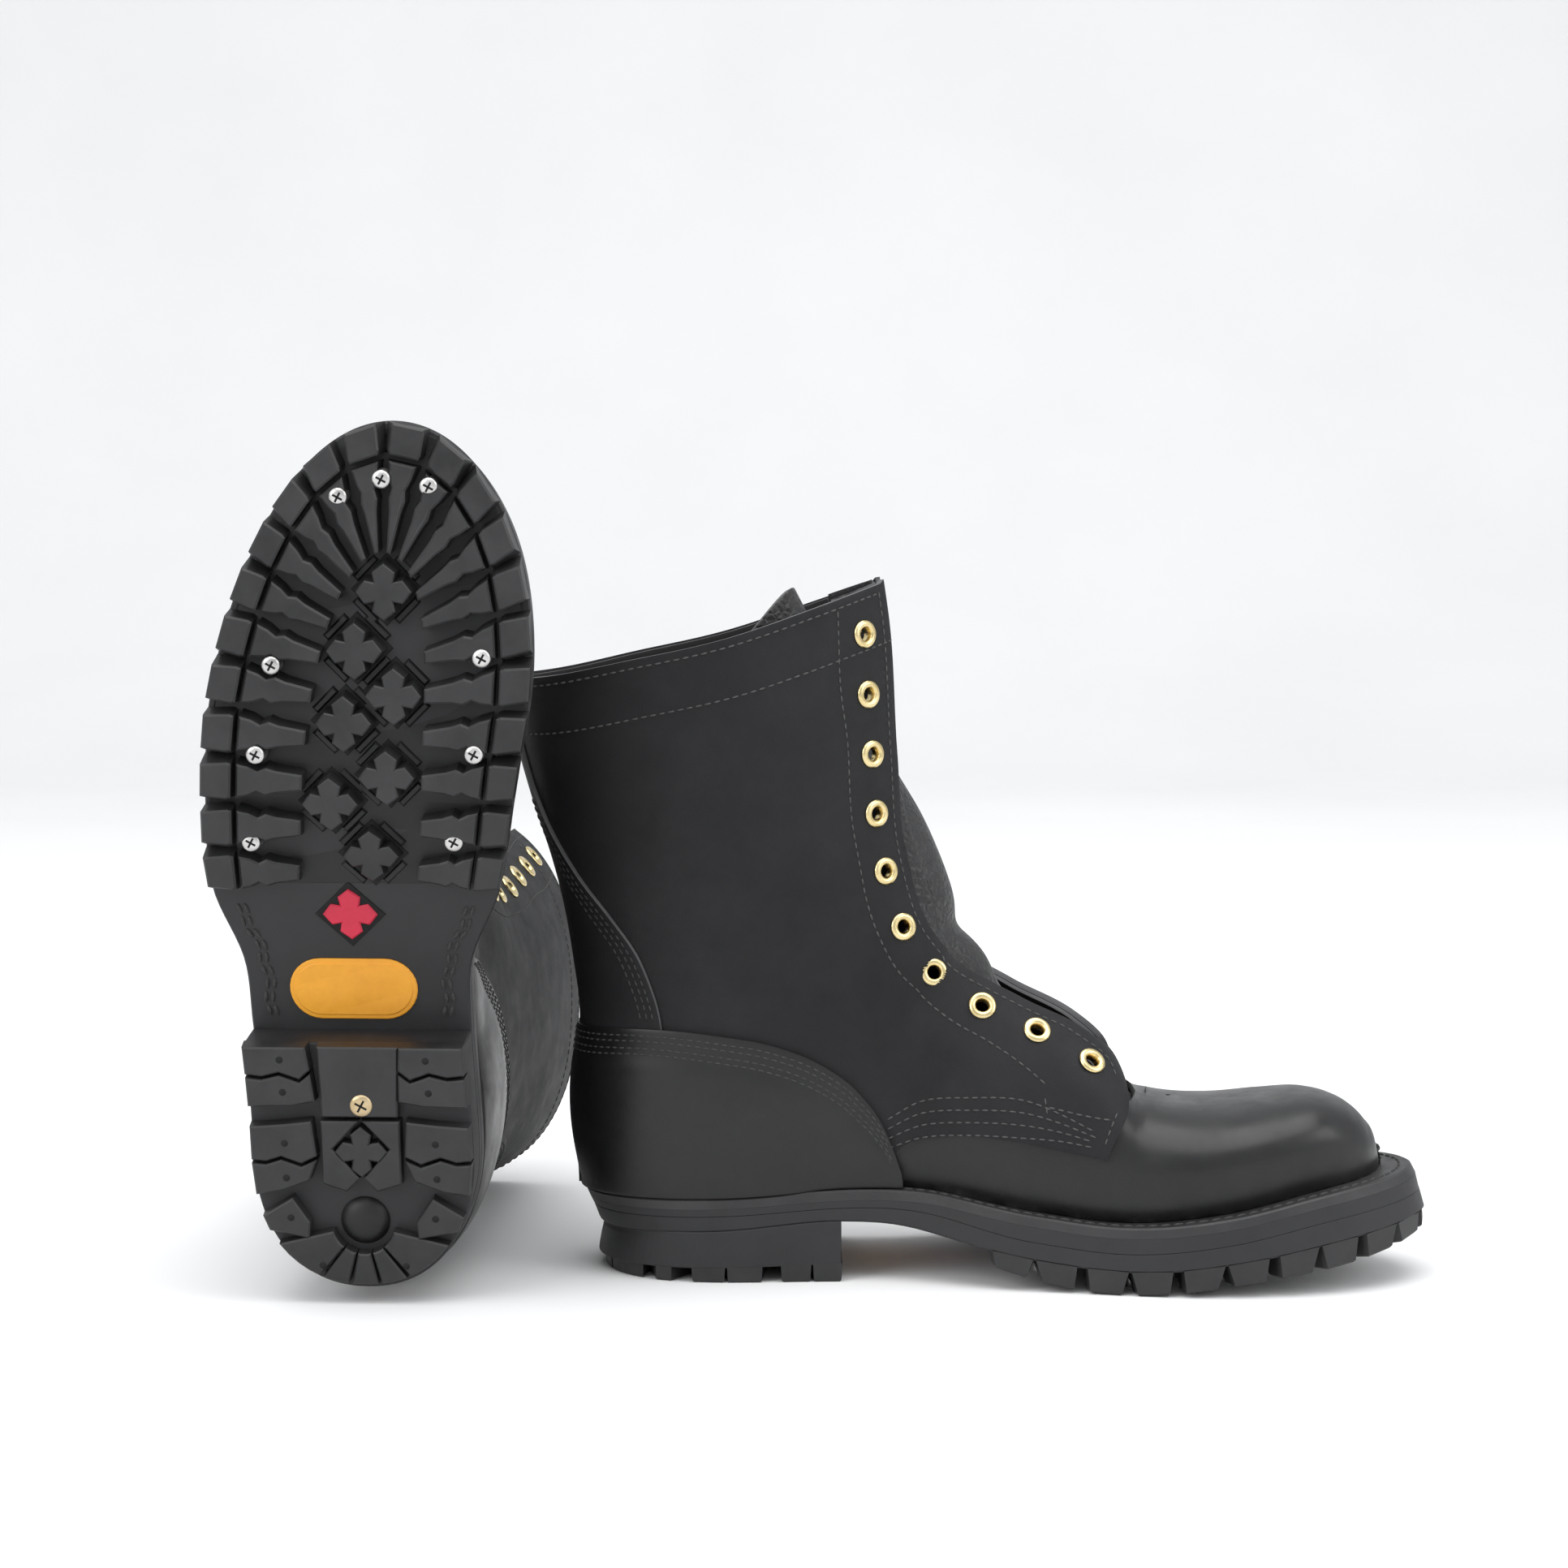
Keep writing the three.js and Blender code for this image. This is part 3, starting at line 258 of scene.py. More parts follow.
# The powers of the superellipses, how much the foot draws in below its belly, and the blend of foot and leg
FOOT_POWER = 2.5
LEG_POWER = 2.3
DRAW_IN = 0.12
BLEND = 0.12
ridge = share_curve([
    (0, 104), (0.34, 112), (0.4, 126), (0.44, 124.5), (0.48, 115), (0.52, 105.5), (0.56, 98.3),
    (0.5937, 90.8), (0.6127, 84), (0.6254, 78.5), (0.635, 73), (0.6444, 68.3), (0.654, 65.5), (0.678, 63.4),
    (0.708, 62.1),
    (0.756, 62.1), (0.813, 64.3), (0.862, 65.5), (0.887, 64), (0.905, 61.3), (0.922, 56.3), (0.933, 50.4),
    (0.9385, 42)])
leg_back = curve([
    (22, 9), (40, 4.4), (53, 2.3), (66, 1.7), (80, 2.9), (94, 4.4), (up(0), 2), (up(0.17), -2.3),
    (up(0.27), -6), (up(0.4), -12), (up(0.75), -25.1), (up(0.9), -30), (up(1), -33)])
leg_front = curve([
    (22, 108), (45, 120), (66, 130), (90, 138), (up(0), 141), (up(0.1), 135.8), (up(0.19), 128.3),
    (up(0.29), 123.8), (up(0.4), 121.5), (up(0.54), 119.6), (up(0.71), 118), (up(0.9), 115.8),
    (up(1), 113.9)])
leg_half = curve([
    (22, 31), (40, 33), (66, 34.5), (92, 34.5), (up(0), 36.5), (up(0.17), 39), (up(0.4), 43),
    (up(0.7), 46), (up(1), 47.5)])


def last_field(x, y, z):
    """Positive inside the last and zero on it: the smooth union of the foot, a superellipse over each x,
    and the leg, a superellipse at each height z."""
    aside = np.abs(y - centre_line(x))
    belly = BELLY + (TOE_BELLY - BELLY) * smoothstep(LAST_FRONT - TOE_ROUND, LAST_FRONT, x)
    widest = welt_top(x) + belly
    foot_half = np.maximum(0.01, plan_half(x, LAST_REAR, LAST_FRONT, last_inset(x)))
    over = np.maximum(0, z - widest) / np.maximum(4, ridge(x) - widest)
    under = np.maximum(0, widest - z) / BELLY
    beyond = np.maximum(0, np.maximum(LAST_REAR - x, x - LAST_FRONT))
    foot = 1 - (aside / foot_half) ** FOOT_POWER - over ** FOOT_POWER - DRAW_IN * under ** 2 - beyond
    middle = (leg_front(z) + leg_back(z)) / 2
    reach = (leg_front(z) - leg_back(z)) / 2
    leg = 1 - (aside / leg_half(z)) ** LEG_POWER - (np.abs(x - middle) / reach) ** LEG_POWER
    return (foot + leg + np.hypot(foot - leg, BLEND)) / 2


def on_last(x, z, side, offset):
    """The point of the last seen from the side at (x, z), moved out by offset along the normal, and that
    normal. side is +1 for the inner side, -1 for the outer side."""
    x, z, side, offset = np.broadcast_arrays(*[np.asarray(v, float) for v in (x, z, side, offset)])
    middle = centre_line(x)
    half = crossing(lambda t: last_field(x, middle + t, z), 0.0, 0.0 * x + BEYOND_LAST)
    y = middle + side * half
    step = 0.2
    normal = np.stack([
        last_field(x - step, y, z) - last_field(x + step, y, z),
        last_field(x, y - step, z) - last_field(x, y + step, z),
        np.maximum(0, last_field(x, y, z - step) - last_field(x, y, z + step)),
    ], -1)
    normal /= np.maximum(1e-9, np.linalg.norm(normal, axis=-1, keepdims=True))
    return np.stack([x, y, z], -1) + offset[..., None] * normal, normal


WRAP_REACH = 24.0


def back_line(z):
    """How far forward the last's back is at height z."""
    z = np.asarray(z, float)
    return crossing(lambda x: last_field(x, centre_line(x), z), leg_back(z) + 30, leg_back(z) - 20)


def wrap(q):
    """How far in front of the back seam a point is that lies q round from it."""
    q = np.abs(q)
    return np.where(q < WRAP_REACH, q * q / (2 * WRAP_REACH), q - WRAP_REACH / 2)


def unwrap(d):
    """The other way round: q for a distance d in front of the back seam."""
    d = np.maximum(0, d)
    return np.where(d < WRAP_REACH / 2, np.sqrt(2 * WRAP_REACH * d), d + WRAP_REACH / 2)


def on_leg(q, z, offset):
    """The point q round from the back seam at height z, moved out by offset, and its normal. q is positive
    on the inner side."""
    return on_last(back_line(z) + wrap(q), z, np.where(np.asarray(q) < 0, -1, 1), offset)


# ---------------------------------------------------------------------------------------------------------
# Lines of the upper, seen from the side
front_edge = path([
    (along(0.614), 47.2), (along(0.631), 62.5), (along(0.627), 73), (along(0.6175), 80),
    (along(0.5865), 88.8), (along(0.511), 101.3), (along(0.432), 117.6), (along(0.402), 129.2),
    (116.8, up(0.29)), (113.4, up(0.545)), (110, up(0.903)), (108, up(1))])
stay_edge = path([
    (along(0.575), 70), (along(0.52), 79.3), (along(0.44), 95.6), (along(0.403), 104.1),
    (along(0.348), 126.3), (101, up(0.265)), (98.3, up(0.37)), (93.9, up(0.7)), (92, up(1))])
eyelet_line = path([
    (101.7, up(0.878)), (104.6, up(0.58)), (108.5, up(0.303)), (along(0.368), 133.4),
    (along(0.408), 114.2), (along(0.466), 100.9), (along(0.53), 91.1), (along(0.6), 78.5)])
collar_top = curve([
    (-40, SHAFT_BACK), (-17, SHAFT_BACK + 0.7), (21.1, up(0.8)), (53.4, up(0.853)), (83.8, up(0.927)),
    (111.8, up(1))])
quarter_bottom = curve([
    (along(0.31), welt_top(along(0.31)) + 0.8), (along(0.345), 38.5), (along(0.375), 48.7),
    (along(0.43), 54.4), (along(0.504), 54.1), (along(0.562), 50.8), (along(0.6165), 47.8)])
cover_top = curve([
    (0, 91), (26, 93.7), (53, 91.7), (70.6, 88.4), (88.2, 80.9), (along(0.322), 70.3), (along(0.3555), 56.9),
    (along(0.3756), 42.6), (along(0.382), 37)])
backstay_edge = curve([
    (94, 39.5), (107, 37.5), (121, 34), (135, 27), (150, 19), (164, 13), (182, 9)])
tongue_line = path([
    (along(0.705), 60.5), (along(0.675), 62.6), (along(0.6485), 66), (along(0.628), 74.5),
    (along(0.6), 81.5), (along(0.56), 89.5), (along(0.52), 97.5), (along(0.497), 105.5), (along(0.478), 115),
    (along(0.451), 127), (137, up(0.185)), (131, up(0.29)), (124.5, up(0.4)), (117, up(0.5)),
    (107, up(0.62)), (96.5, up(0.745)), (86.5, up(0.86)), (79, up(0.965))])


def quarter_foot(x):
    """The quarter's lower edge: on the welt at the heel, over the vamp in front of it."""
    return np.where(x < along(0.31), welt_top(x) + 0.5, quarter_bottom(x))


def leg_height(q, line):
    """The height of a line given by x, for a distance q round from the back seam."""
    z = line(wrap(q))
    for _ in range(6):
        z = line(back_line(z) + wrap(q))
    return z


# ---------------------------------------------------------------------------------------------------------
# Meshes
class Boot:
    """One boot: its name, and how its own frame lies in the row's frame."""

    def __init__(self, name, turn, shift, mirrored):
        self.name = name
        self.turn = np.array(turn, float)
        self.shift = np.array(shift, float)
        self.mirrored = mirrored

    def world(self, points):
        flip = np.array([1, -1 if self.mirrored else 1, 1])
        return ((np.asarray(points) * flip) @ self.turn.T + self.shift) / 1000


def grid_faces(rows, columns, closed=False):
    """Quads of a grid of points numbered row by row; closed joins the last column to the first."""
    i = np.arange(rows - 1)[:, None]
    j = np.arange(columns if closed else columns - 1)[None, :]
    k = (j + 1) % columns
    quads = [i * columns + j, i * columns + k, (i + 1) * columns + k, (i + 1) * columns + j]
    return np.stack(np.broadcast_arrays(*quads), -1).reshape(-1, 4)


def face_turn(vertices, faces):
    """Six times the signed volume that quads enclose with the origin."""
    a, b, c, d = (vertices[faces[:, k]] for k in range(4))
    return (np.cross(b - a, c - a) * a).sum() + (np.cross(c - a, d - a) * a).sum()


def add_mesh(name, vertices, faces, materials, smooth=True):
    """A mesh object in the row's frame, in metres."""
    mesh = bpy.data.meshes.new(name)
    mesh.from_pydata(np.asarray(vertices).tolist(), [], [list(map(int, face)) for face in faces])
    mesh.validate()
    for material in materials:
        mesh.materials.append(material)
    mesh.polygons.foreach_set("use_smooth", [smooth] * len(mesh.polygons))
    piece = bpy.data.objects.new(name, mesh)
    bpy.context.collection.objects.link(piece)
    return piece


def soften(piece, width, segments=2, angle=40):
    """Rounds a piece's edges."""
    bevel = piece.modifiers.new("soften", "BEVEL")
    bevel.width = width / 1000
    bevel.segments = segments
    bevel.limit_method = "ANGLE"
    bevel.angle_limit = math.radians(angle)
    return piece


def sheet(boot, name, points, thickness, materials, away, keep=None, edge=0.5):
    """A sheet of leather: points is a grid of its outer face, away a grid of directions that point out of
    it, keep the quads that are kept. The sheet gets its thickness inwards, and rounded edges."""
    rows, columns = points.shape[:2]
    faces = grid_faces(rows, columns)
    flat = points.reshape(-1, 3)
    a, b, d = flat[faces[:, 0]], flat[faces[:, 1]], flat[faces[:, 3]]
    facing = (np.cross(b - a, d - a) * away.reshape(-1, 3)[faces[:, 0]]).sum()
    if (facing < 0) != boot.mirrored:
        faces = faces[:, ::-1]
    if keep is not None:
        faces = faces[keep.reshape(-1)]
    used, renumbered = np.unique(faces, return_inverse=True)
    faces = renumbered.reshape(faces.shape)
    piece = add_mesh(f"{boot.name}_{name}", boot.world(flat[used]), faces, materials)
    wall = piece.modifiers.new("leather", "SOLIDIFY")
    wall.thickness = thickness / 1000
    wall.offset = -1
    # A material of its own for the cut edge
    wall.material_offset_rim = len(materials) - 1
    return soften(piece, edge)


def loft(boot, name, rings, materials, smooth=True):
    """A closed solid from rings of points stacked on each other, each end closed by one face."""
    rings = np.asarray(rings)
    levels, count = rings.shape[:2]
    flat = rings.reshape(-1, 3)
    faces = grid_faces(levels, count, closed=True)
    if (face_turn(flat, faces) < 0) != boot.mirrored:
        faces = faces[:, ::-1]
        ends = [list(range(count)), list(range((levels - 1) * count, levels * count))[::-1]]
    else:
        ends = [list(range(count))[::-1], list(range((levels - 1) * count, levels * count))]
    return add_mesh(f"{boot.name}_{name}", boot.world(flat), faces.tolist() + ends, materials, smooth)


def inset_outline(points, distance):
    """An outline moved inwards by distance: each corner along the mean of its two edges' normals."""
    ahead = np.roll(points, -1, axis=0) - points
    area = 0.5 * (points[:, 0] * np.roll(points[:, 1], -1) - points[:, 1] * np.roll(points[:, 0], -1)).sum()
    normal = np.stack([-ahead[:, 1], ahead[:, 0]], -1) * np.sign(area)
    normal /= np.linalg.norm(normal, axis=1, keepdims=True)
    corner = normal + np.roll(normal, 1, axis=0)
    square = np.maximum(0.7, (corner ** 2).sum(axis=1, keepdims=True))
    return points + corner * (2 * distance / square)


def blocks(boot, name, shapes, materials, rim=0.7):
    """Rubber blocks, one mesh. A shape is (outline, low, high, root): a flat outline whose face is at
    height low(x), bevelled by rim. root is its outline at height high(x), or how much it widens to there."""
    vertices = []
    faces = []
    start = 0
    for points, low, high, root in shapes:
        points = np.asarray(points, float)
        face = inset_outline(points, rim)
        foot = inset_outline(points, -root) if np.isscalar(root) else root
        levels = [
            np.column_stack([face, low(face[:, 0])]),
            np.column_stack([points, low(points[:, 0]) + rim]),
            np.column_stack([foot, high(foot[:, 0])]),
        ]
        flat = np.concatenate(levels)
        count = len(points)
        quads = grid_faces(3, count, closed=True)
        ends = [list(range(count))[::-1], list(range(2 * count, 3 * count))]
        if (face_turn(flat, quads) < 0) != boot.mirrored:
            quads = quads[:, ::-1]
            ends = [end[::-1] for end in ends]
        vertices.append(flat)
        faces += [[start + corner for corner in corners] for corners in quads.tolist() + ends]
        start += len(flat)
    vertices = boot.world(np.concatenate(vertices))
    return add_mesh(f"{boot.name}_{name}", vertices, faces, materials, smooth=False)


def turned(boot, name, section, places, sides, materials, smooth=True):
    """Copies of a section of (radius, height) turned round an axis. A place is (centre, axis direction)."""
    section = np.array(section, float)
    angle = np.arange(sides) * 2 * np.pi / sides
    vertices = []
    faces = []
    for number, (centre, axis) in enumerate(places):
        axis = np.asarray(axis, float) / np.linalg.norm(axis)
        one = np.cross(axis, [0.31, 0.17, 0.93])
        one /= np.linalg.norm(one)
        two = np.cross(axis, one)
        spoke = np.cos(angle)[:, None] * one + np.sin(angle)[:, None] * two
        ring = section[:, None, 0, None] * spoke[None] + section[:, None, 1, None] * axis + np.asarray(centre)
        quads = grid_faces(len(section), sides, closed=True)
        flat = ring.reshape(-1, 3)
        if (face_turn(flat - flat.mean(axis=0), quads) < 0) != boot.mirrored:
            quads = quads[:, ::-1]
        vertices.append(flat)
        faces.append(quads + number * len(flat))
    vertices = boot.world(np.concatenate(vertices))
    return add_mesh(f"{boot.name}_{name}", vertices, np.concatenate(faces), materials, smooth)


STITCH_SIDES = 6
STITCH_SLICES = 5
STITCH_POINTS = STITCH_SIDES * STITCH_SLICES
STITCH_ENDS = np.array([[0, 1, 2, 3], [0, 3, 4, 5], [27, 26, 25, 24], [29, 28, 27, 24]])


def stitches(boot, name, rows, material, length, pitch, radius):
    """Rows of stitches as one mesh. A row is (points, normals) on the leather; a stitch is a small
    ellipsoid along the row, every pitch, a little less than half of it sunk."""
    ring = np.arange(STITCH_SIDES) * 2 * np.pi / STITCH_SIDES
    slices = np.linspace(0.12, np.pi - 0.12, STITCH_SLICES)
    quads = grid_faces(STITCH_SLICES, STITCH_SIDES, closed=True)
    one = np.concatenate([quads[:, ::-1], STITCH_ENDS[:, ::-1]])
    if boot.mirrored:
        one = one[:, ::-1]
    vertices = []
    faces = []
    start = 0
    for points, normals in rows:
        walked = np.concatenate([[0], np.cumsum(np.linalg.norm(np.diff(points, axis=0), axis=1))])
        spots = np.arange(pitch / 2, walked[-1] - pitch / 2, pitch)
        if len(spots) == 0:
            continue
        at = np.stack([np.interp(spots, walked, points[:, k]) for k in range(3)], -1)
        ahead = np.stack([np.interp(spots + 0.5, walked, points[:, k]) for k in range(3)], -1)
        lift = np.stack([np.interp(spots, walked, normals[:, k]) for k in range(3)], -1)
        lift /= np.linalg.norm(lift, axis=1, keepdims=True)
        run = ahead - at
        run /= np.maximum(1e-9, np.linalg.norm(run, axis=1, keepdims=True))
        across = np.cross(lift, run)
        body = (
            (length / 2) * np.cos(slices)[None, :, None, None] * run[:, None, None, :]
            + radius * np.sin(slices)[None, :, None, None]
            * (np.cos(ring)[None, None, :, None] * across[:, None, None, :]
               + np.sin(ring)[None, None, :, None] * lift[:, None, None, :])
            + (at + 0.15 * radius * lift)[:, None, None, :])
        first = start + STITCH_POINTS * np.arange(len(spots))
        vertices.append(body.reshape(-1, 3))
        faces.append((one[None] + first[:, None, None]).reshape(-1, 4))
        start += STITCH_POINTS * len(spots)
    vertices = boot.world(np.concatenate(vertices))
    return add_mesh(f"{boot.name}_{name}", vertices, np.concatenate(faces), [material])


# ---------------------------------------------------------------------------------------------------------
# Materials
class Surface:
    """A new material: its shader, and the textures made for it in the object's own place."""

    def __init__(self, name):
        self.material = bpy.data.materials.new(name)
        self.material.use_nodes = True
        self.nodes = self.material.node_tree.nodes
        self.links = self.material.node_tree.links
        self.shader = self.nodes["Principled BSDF"]
        self.place = self.nodes.new("ShaderNodeTexCoord").outputs["Object"]

    def noise(self, scale, detail=4, roughness=0.55):
        texture = self.nodes.new("ShaderNodeTexNoise")
        texture.inputs["Scale"].default_value = scale
        texture.inputs["Detail"].default_value = detail
        texture.inputs["Roughness"].default_value = roughness
        self.links.new(self.place, texture.inputs["Vector"])
        return texture.outputs["Fac"]

    def pebbles(self, scale):
        """Cells that are low along their edges."""
        texture = self.nodes.new("ShaderNodeTexVoronoi")
        texture.feature = "DISTANCE_TO_EDGE"
        texture.inputs["Scale"].default_value = scale
        self.links.new(self.place, texture.inputs["Vector"])
        return texture.outputs["Distance"]

    def colour(self, value, dark, light):
        """Colours the surface from dark to light as value goes from 0.3 to 0.7."""
        mix = self.nodes.new("ShaderNodeValToRGB")
        low, high = mix.color_ramp.elements
        low.position = 0.3
        low.color = (*dark, 1)
        high.position = 0.7
        high.color = (*light, 1)
        self.links.new(value, mix.inputs["Fac"])
        self.links.new(mix.outputs["Color"], self.shader.inputs["Base Color"])

    def rough(self, value, low, high):
        """Sets the roughness from low to high as value goes from 0.3 to 0.7."""
        scale = self.nodes.new("ShaderNodeMapRange")
        scale.inputs["From Min"].default_value = 0.3
        scale.inputs["From Max"].default_value = 0.7
        scale.inputs["To Min"].default_value = low
        scale.inputs["To Max"].default_value = high
        self.links.new(value, scale.inputs["Value"])
        self.links.new(scale.outputs["Result"], self.shader.inputs["Roughness"])

    def bump(self, *layers):
        """Stacks bumps: a layer is (height, strength, distance in millimetres)."""
        normal = None
        for height, strength, distance in layers:
            node = self.nodes.new("ShaderNodeBump")
            node.inputs["Strength"].default_value = strength
            node.inputs["Distance"].default_value = distance / 1000
            self.links.new(height, node.inputs["Height"])
            if normal is not None:
                self.links.new(normal, node.inputs["Normal"])
            normal = node.outputs["Normal"]
        self.links.new(normal, self.shader.inputs["Normal"])

    def fix(self, name, value):
        """Gives one of the shader's inputs an even value."""
        self.shader.inputs[name].default_value = value


def leather(name, dark, light, rough, grain, grain_depth, crease=0.5, specular=0.42):
    """Leather: colour clouds, grain cells, fine pores and soft creases."""
    surface = Surface(name)
    surface.colour(surface.noise(26, 6, 0.6), dark, light)
    surface.rough(surface.noise(90, 5, 0.65), rough - 0.06, rough + 0.08)
    depth = 330 / grain
    surface.bump(
        (surface.noise(45), 0.25, crease),
        (surface.pebbles(grain), grain_depth, depth),
        (surface.noise(grain * 1.7, 3), grain_depth * 0.7, depth / 2))
    surface.fix("Specular IOR Level", specular)
    return surface.material


def rubber(name, dark, light, rough):
    """Moulded rubber: dusty clouds, fine grit and shallow flow marks."""
    surface = Surface(name)
    dust = surface.noise(34, 7, 0.7)
    surface.colour(dust, dark, light)
    surface.rough(dust, rough - 0.07, rough + 0.1)
    surface.bump((surface.noise(120), 0.2, 0.3), (surface.noise(700, 3), 0.25, 0.1))
    surface.fix("Specular IOR Level", 0.4)
    return surface.material


def metal(name, dark, light, rough):
    """Plated metal: faint stains and fine scratches."""
    surface = Surface(name)
    stain = surface.noise(160)
    surface.colour(stain, dark, light)
    surface.rough(stain, rough - 0.05, rough + 0.12)
    surface.bump((surface.noise(400, 3), 0.06, 0.03))
    surface.fix("Metallic", 1.0)
    return surface.material


def thread(name, dark, light):
    """Twisted thread: light and dark bands across it."""
    surface = Surface(name)
    twist = surface.noise(1500, 2)
    surface.colour(twist, dark, light)
    surface.bump((twist, 0.5, 0.15))
    surface.fix("Roughness", 0.8)
    return surface.material


smooth_leather = leather(
    "smooth_leather", (0.004, 0.004, 0.0043), (0.0075, 0.0075, 0.008), 0.36, 1500, 0.1)
shaft_leather = leather(
    "shaft_leather", (0.008, 0.008, 0.009), (0.0135, 0.0135, 0.0148), 0.62, 1150, 0.3, 0.4, specular=0.24)
lining_leather = leather(
    "lining_leather", (0.011, 0.011, 0.012), (0.018, 0.018, 0.019), 0.75, 900, 0.35, 0.6, specular=0.2)
tongue_leather = leather(
    "tongue_leather", (0.006, 0.006, 0.0066), (0.018, 0.018, 0.019), 0.44, 330, 1.0, 1.8)
cut_edge = leather("cut_leather_edge", (0.05, 0.05, 0.052), (0.11, 0.11, 0.112), 0.8, 1800, 0.5)
dressed_edge = leather("dressed_edge", (0.014, 0.014, 0.015), (0.03, 0.03, 0.031), 0.5, 1500, 0.2)
natural_leather = leather("natural_leather", (0.3, 0.19, 0.1), (0.42, 0.28, 0.16), 0.7, 1100, 0.3)
tread_rubber = rubber("tread_rubber", (0.009, 0.009, 0.0095), (0.026, 0.026, 0.027), 0.46)
# Painted shade: darker than the lugs' rubber, for the floor and ridges sunk between the lugs and for the
# heel's dome
painted_shade_groove_rubber = rubber("painted_shade_groove_rubber", (0.003, 0.003, 0.0033), (0.007, 0.007, 0.0074), 0.5)
wall_rubber = rubber("wall_rubber", (0.011, 0.011, 0.012), (0.02, 0.02, 0.0215), 0.55)
# Painted shade: near black, standing in for the shade inside the plus recesses, the nail holes and the
# screws' cross slots
painted_deep_shade_rubber = rubber("painted_deep_shade_rubber", (0.002, 0.002, 0.002), (0.004, 0.004, 0.004), 0.8)
amber_rubber = rubber("amber_rubber", (0.6, 0.25, 0.015), (0.76, 0.35, 0.025), 0.42)
red_rubber = rubber("red_rubber", (0.34, 0.008, 0.028), (0.55, 0.02, 0.055), 0.45)
eyelet_brass = metal("eyelet_brass", (0.6, 0.48, 0.23), (0.78, 0.65, 0.36), 0.24)
screw_steel = metal("screw_steel", (0.42, 0.41, 0.4), (0.62, 0.61, 0.6), 0.32)
screw_brass = metal("screw_brass", (0.46, 0.35, 0.2), (0.62, 0.5, 0.32), 0.36)
pale_thread = thread("pale_thread", (0.035, 0.035, 0.035), (0.075, 0.075, 0.073))
dark_thread = thread("dark_thread", (0.02, 0.02, 0.02), (0.045, 0.045, 0.044))
sole_thread = thread("sole_thread", (0.012, 0.012, 0.012), (0.035, 0.035, 0.034))


# ---------------------------------------------------------------------------------------------------------
# The sole
LAYER_POINTS = 240
SHARP_EDGE = math.radians(30)
# How far the sole's wall spreads out over its height, and the gaps between the layers
WALL_SPREAD = 5.0
WALL_HEIGHT = 12.0
MIDSOLE_GAP = 0.05
OUTSOLE_GAP = 0.1


def sole_layer(boot, name, plans, heights, material):
    """A layer of the sole: rings of the outline at rising heights. A plan is (rear, front, inset function)
    and each ring has a height function of x. The ends are closed by quads across the layer."""
    t = np.arange(LAYER_POINTS) / LAYER_POINTS
    rings = []
    for (rear, front, inset), height in zip(plans, heights):
        flat = outline(t, rear, front, inset)
        rings.append(np.column_stack([flat, height(flat[:, 0])]))
    flat = np.concatenate(rings)
    count = LAYER_POINTS
    sides = grid_faces(len(rings), count, closed=True)
    i = np.arange(count // 2)
    low_cap = np.stack([i, i + 1, (count - i - 1) % count, (count - i) % count], -1)[:, ::-1]
    high_cap = low_cap[:, ::-1] + (len(rings) - 1) * count
    faces = np.concatenate([sides, low_cap, high_cap])
    if (face_turn(flat, sides) < 0) != boot.mirrored:
        faces = faces[:, ::-1]
    # The caps' first and last quads have a corner twice, which is left out
    faces = [[corner for k, corner in enumerate(face) if corner not in face[:k]] for face in faces.tolist()]
    piece = add_mesh(f"{boot.name}_{name}", boot.world(flat), faces, [material])
    piece.data.set_sharp_from_angle(angle=SHARP_EDGE)
    return piece


def midsole_thickness(x):
    return 2.6 + 2.8 * smoothstep(along(0.34), along(0.53), x)


def midsole_top(x):
    return welt_top(x) - WELT_THICKNESS - MIDSOLE_GAP


def outsole_top(x):
    return welt_top(x) - WELT_THICKNESS - midsole_thickness(x) - OUTSOLE_GAP


def wall_plan(depth):
    """The plan of the sole's wall at a depth below the welt's top: it draws in at the heel, and spreads
    towards the ground at the toe."""
    share = depth / WALL_HEIGHT
    front = SOLE_LENGTH - WALL_SPREAD * (1 - share)
    return WALL_SPREAD * share, front, lambda x: edge_inset(x) * (1 - share)


def welt_layer(boot):
    """The welt: a flat strip with a rounded edge, over the whole sole."""
    slim = (0.8, SOLE_LENGTH - 6.2, above(edge_inset, 0.8))
    upper = (0.1, SOLE_LENGTH - 5.1, edge_inset)
    plans = [wall_plan(WELT_THICKNESS), upper, slim]
    heights = [above(welt_top, -WELT_THICKNESS), above(welt_top, -0.6), welt_top]
    sole_layer(boot, "welt_strip", plans, heights, dressed_edge)


def midsole_layer(boot):
    low = lambda x: midsole_top(x) - midsole_thickness(x)
    plans = [wall_plan(7), wall_plan(WELT_THICKNESS)]
    sole_layer(boot, "midsole_layer", plans, [low, midsole_top], wall_rubber)


def outsole_base(boot):
    """The outsole above the tread: its wall has a small step under the midsole."""
    low = (5.4, SOLE_LENGTH - 0.9, level(0.6))
    seam = (3.2, SOLE_LENGTH - 2.2, lambda x: edge_inset(x) * 0.4 + 0.35)
    plans = [low, wall_plan(WALL_HEIGHT), wall_plan(7.5), seam]
    heights = [sole_underside, above(sole_underside, 0.8), above(outsole_top, -0.35), outsole_top]
    sole_layer(boot, "outsole_base", plans, heights, wall_rubber)


TREAD_REAR = along(0.475)
LUG_COUNT = 22
FIELD_FRONT = along(0.862)
FIELD_HALF = 21
PLUS_SPAN = 19.5
PLUS_ARM = 8
UP = (0, 0, 1)
# Heights of the tread's parts: where their roots end, and how far each is set back or stands out
block_root = above(sole_underside, 0.3)
inner_lug_face = above(tread_bottom, 0.4)
plus_face = above(tread_bottom, 0.6)
red_face = above(sole_underside, -1.2)
ridge_face = above(sole_underside, -1.1)
recess_face = above(sole_underside, -0.5)
groove_face = above(sole_underside, -0.3)
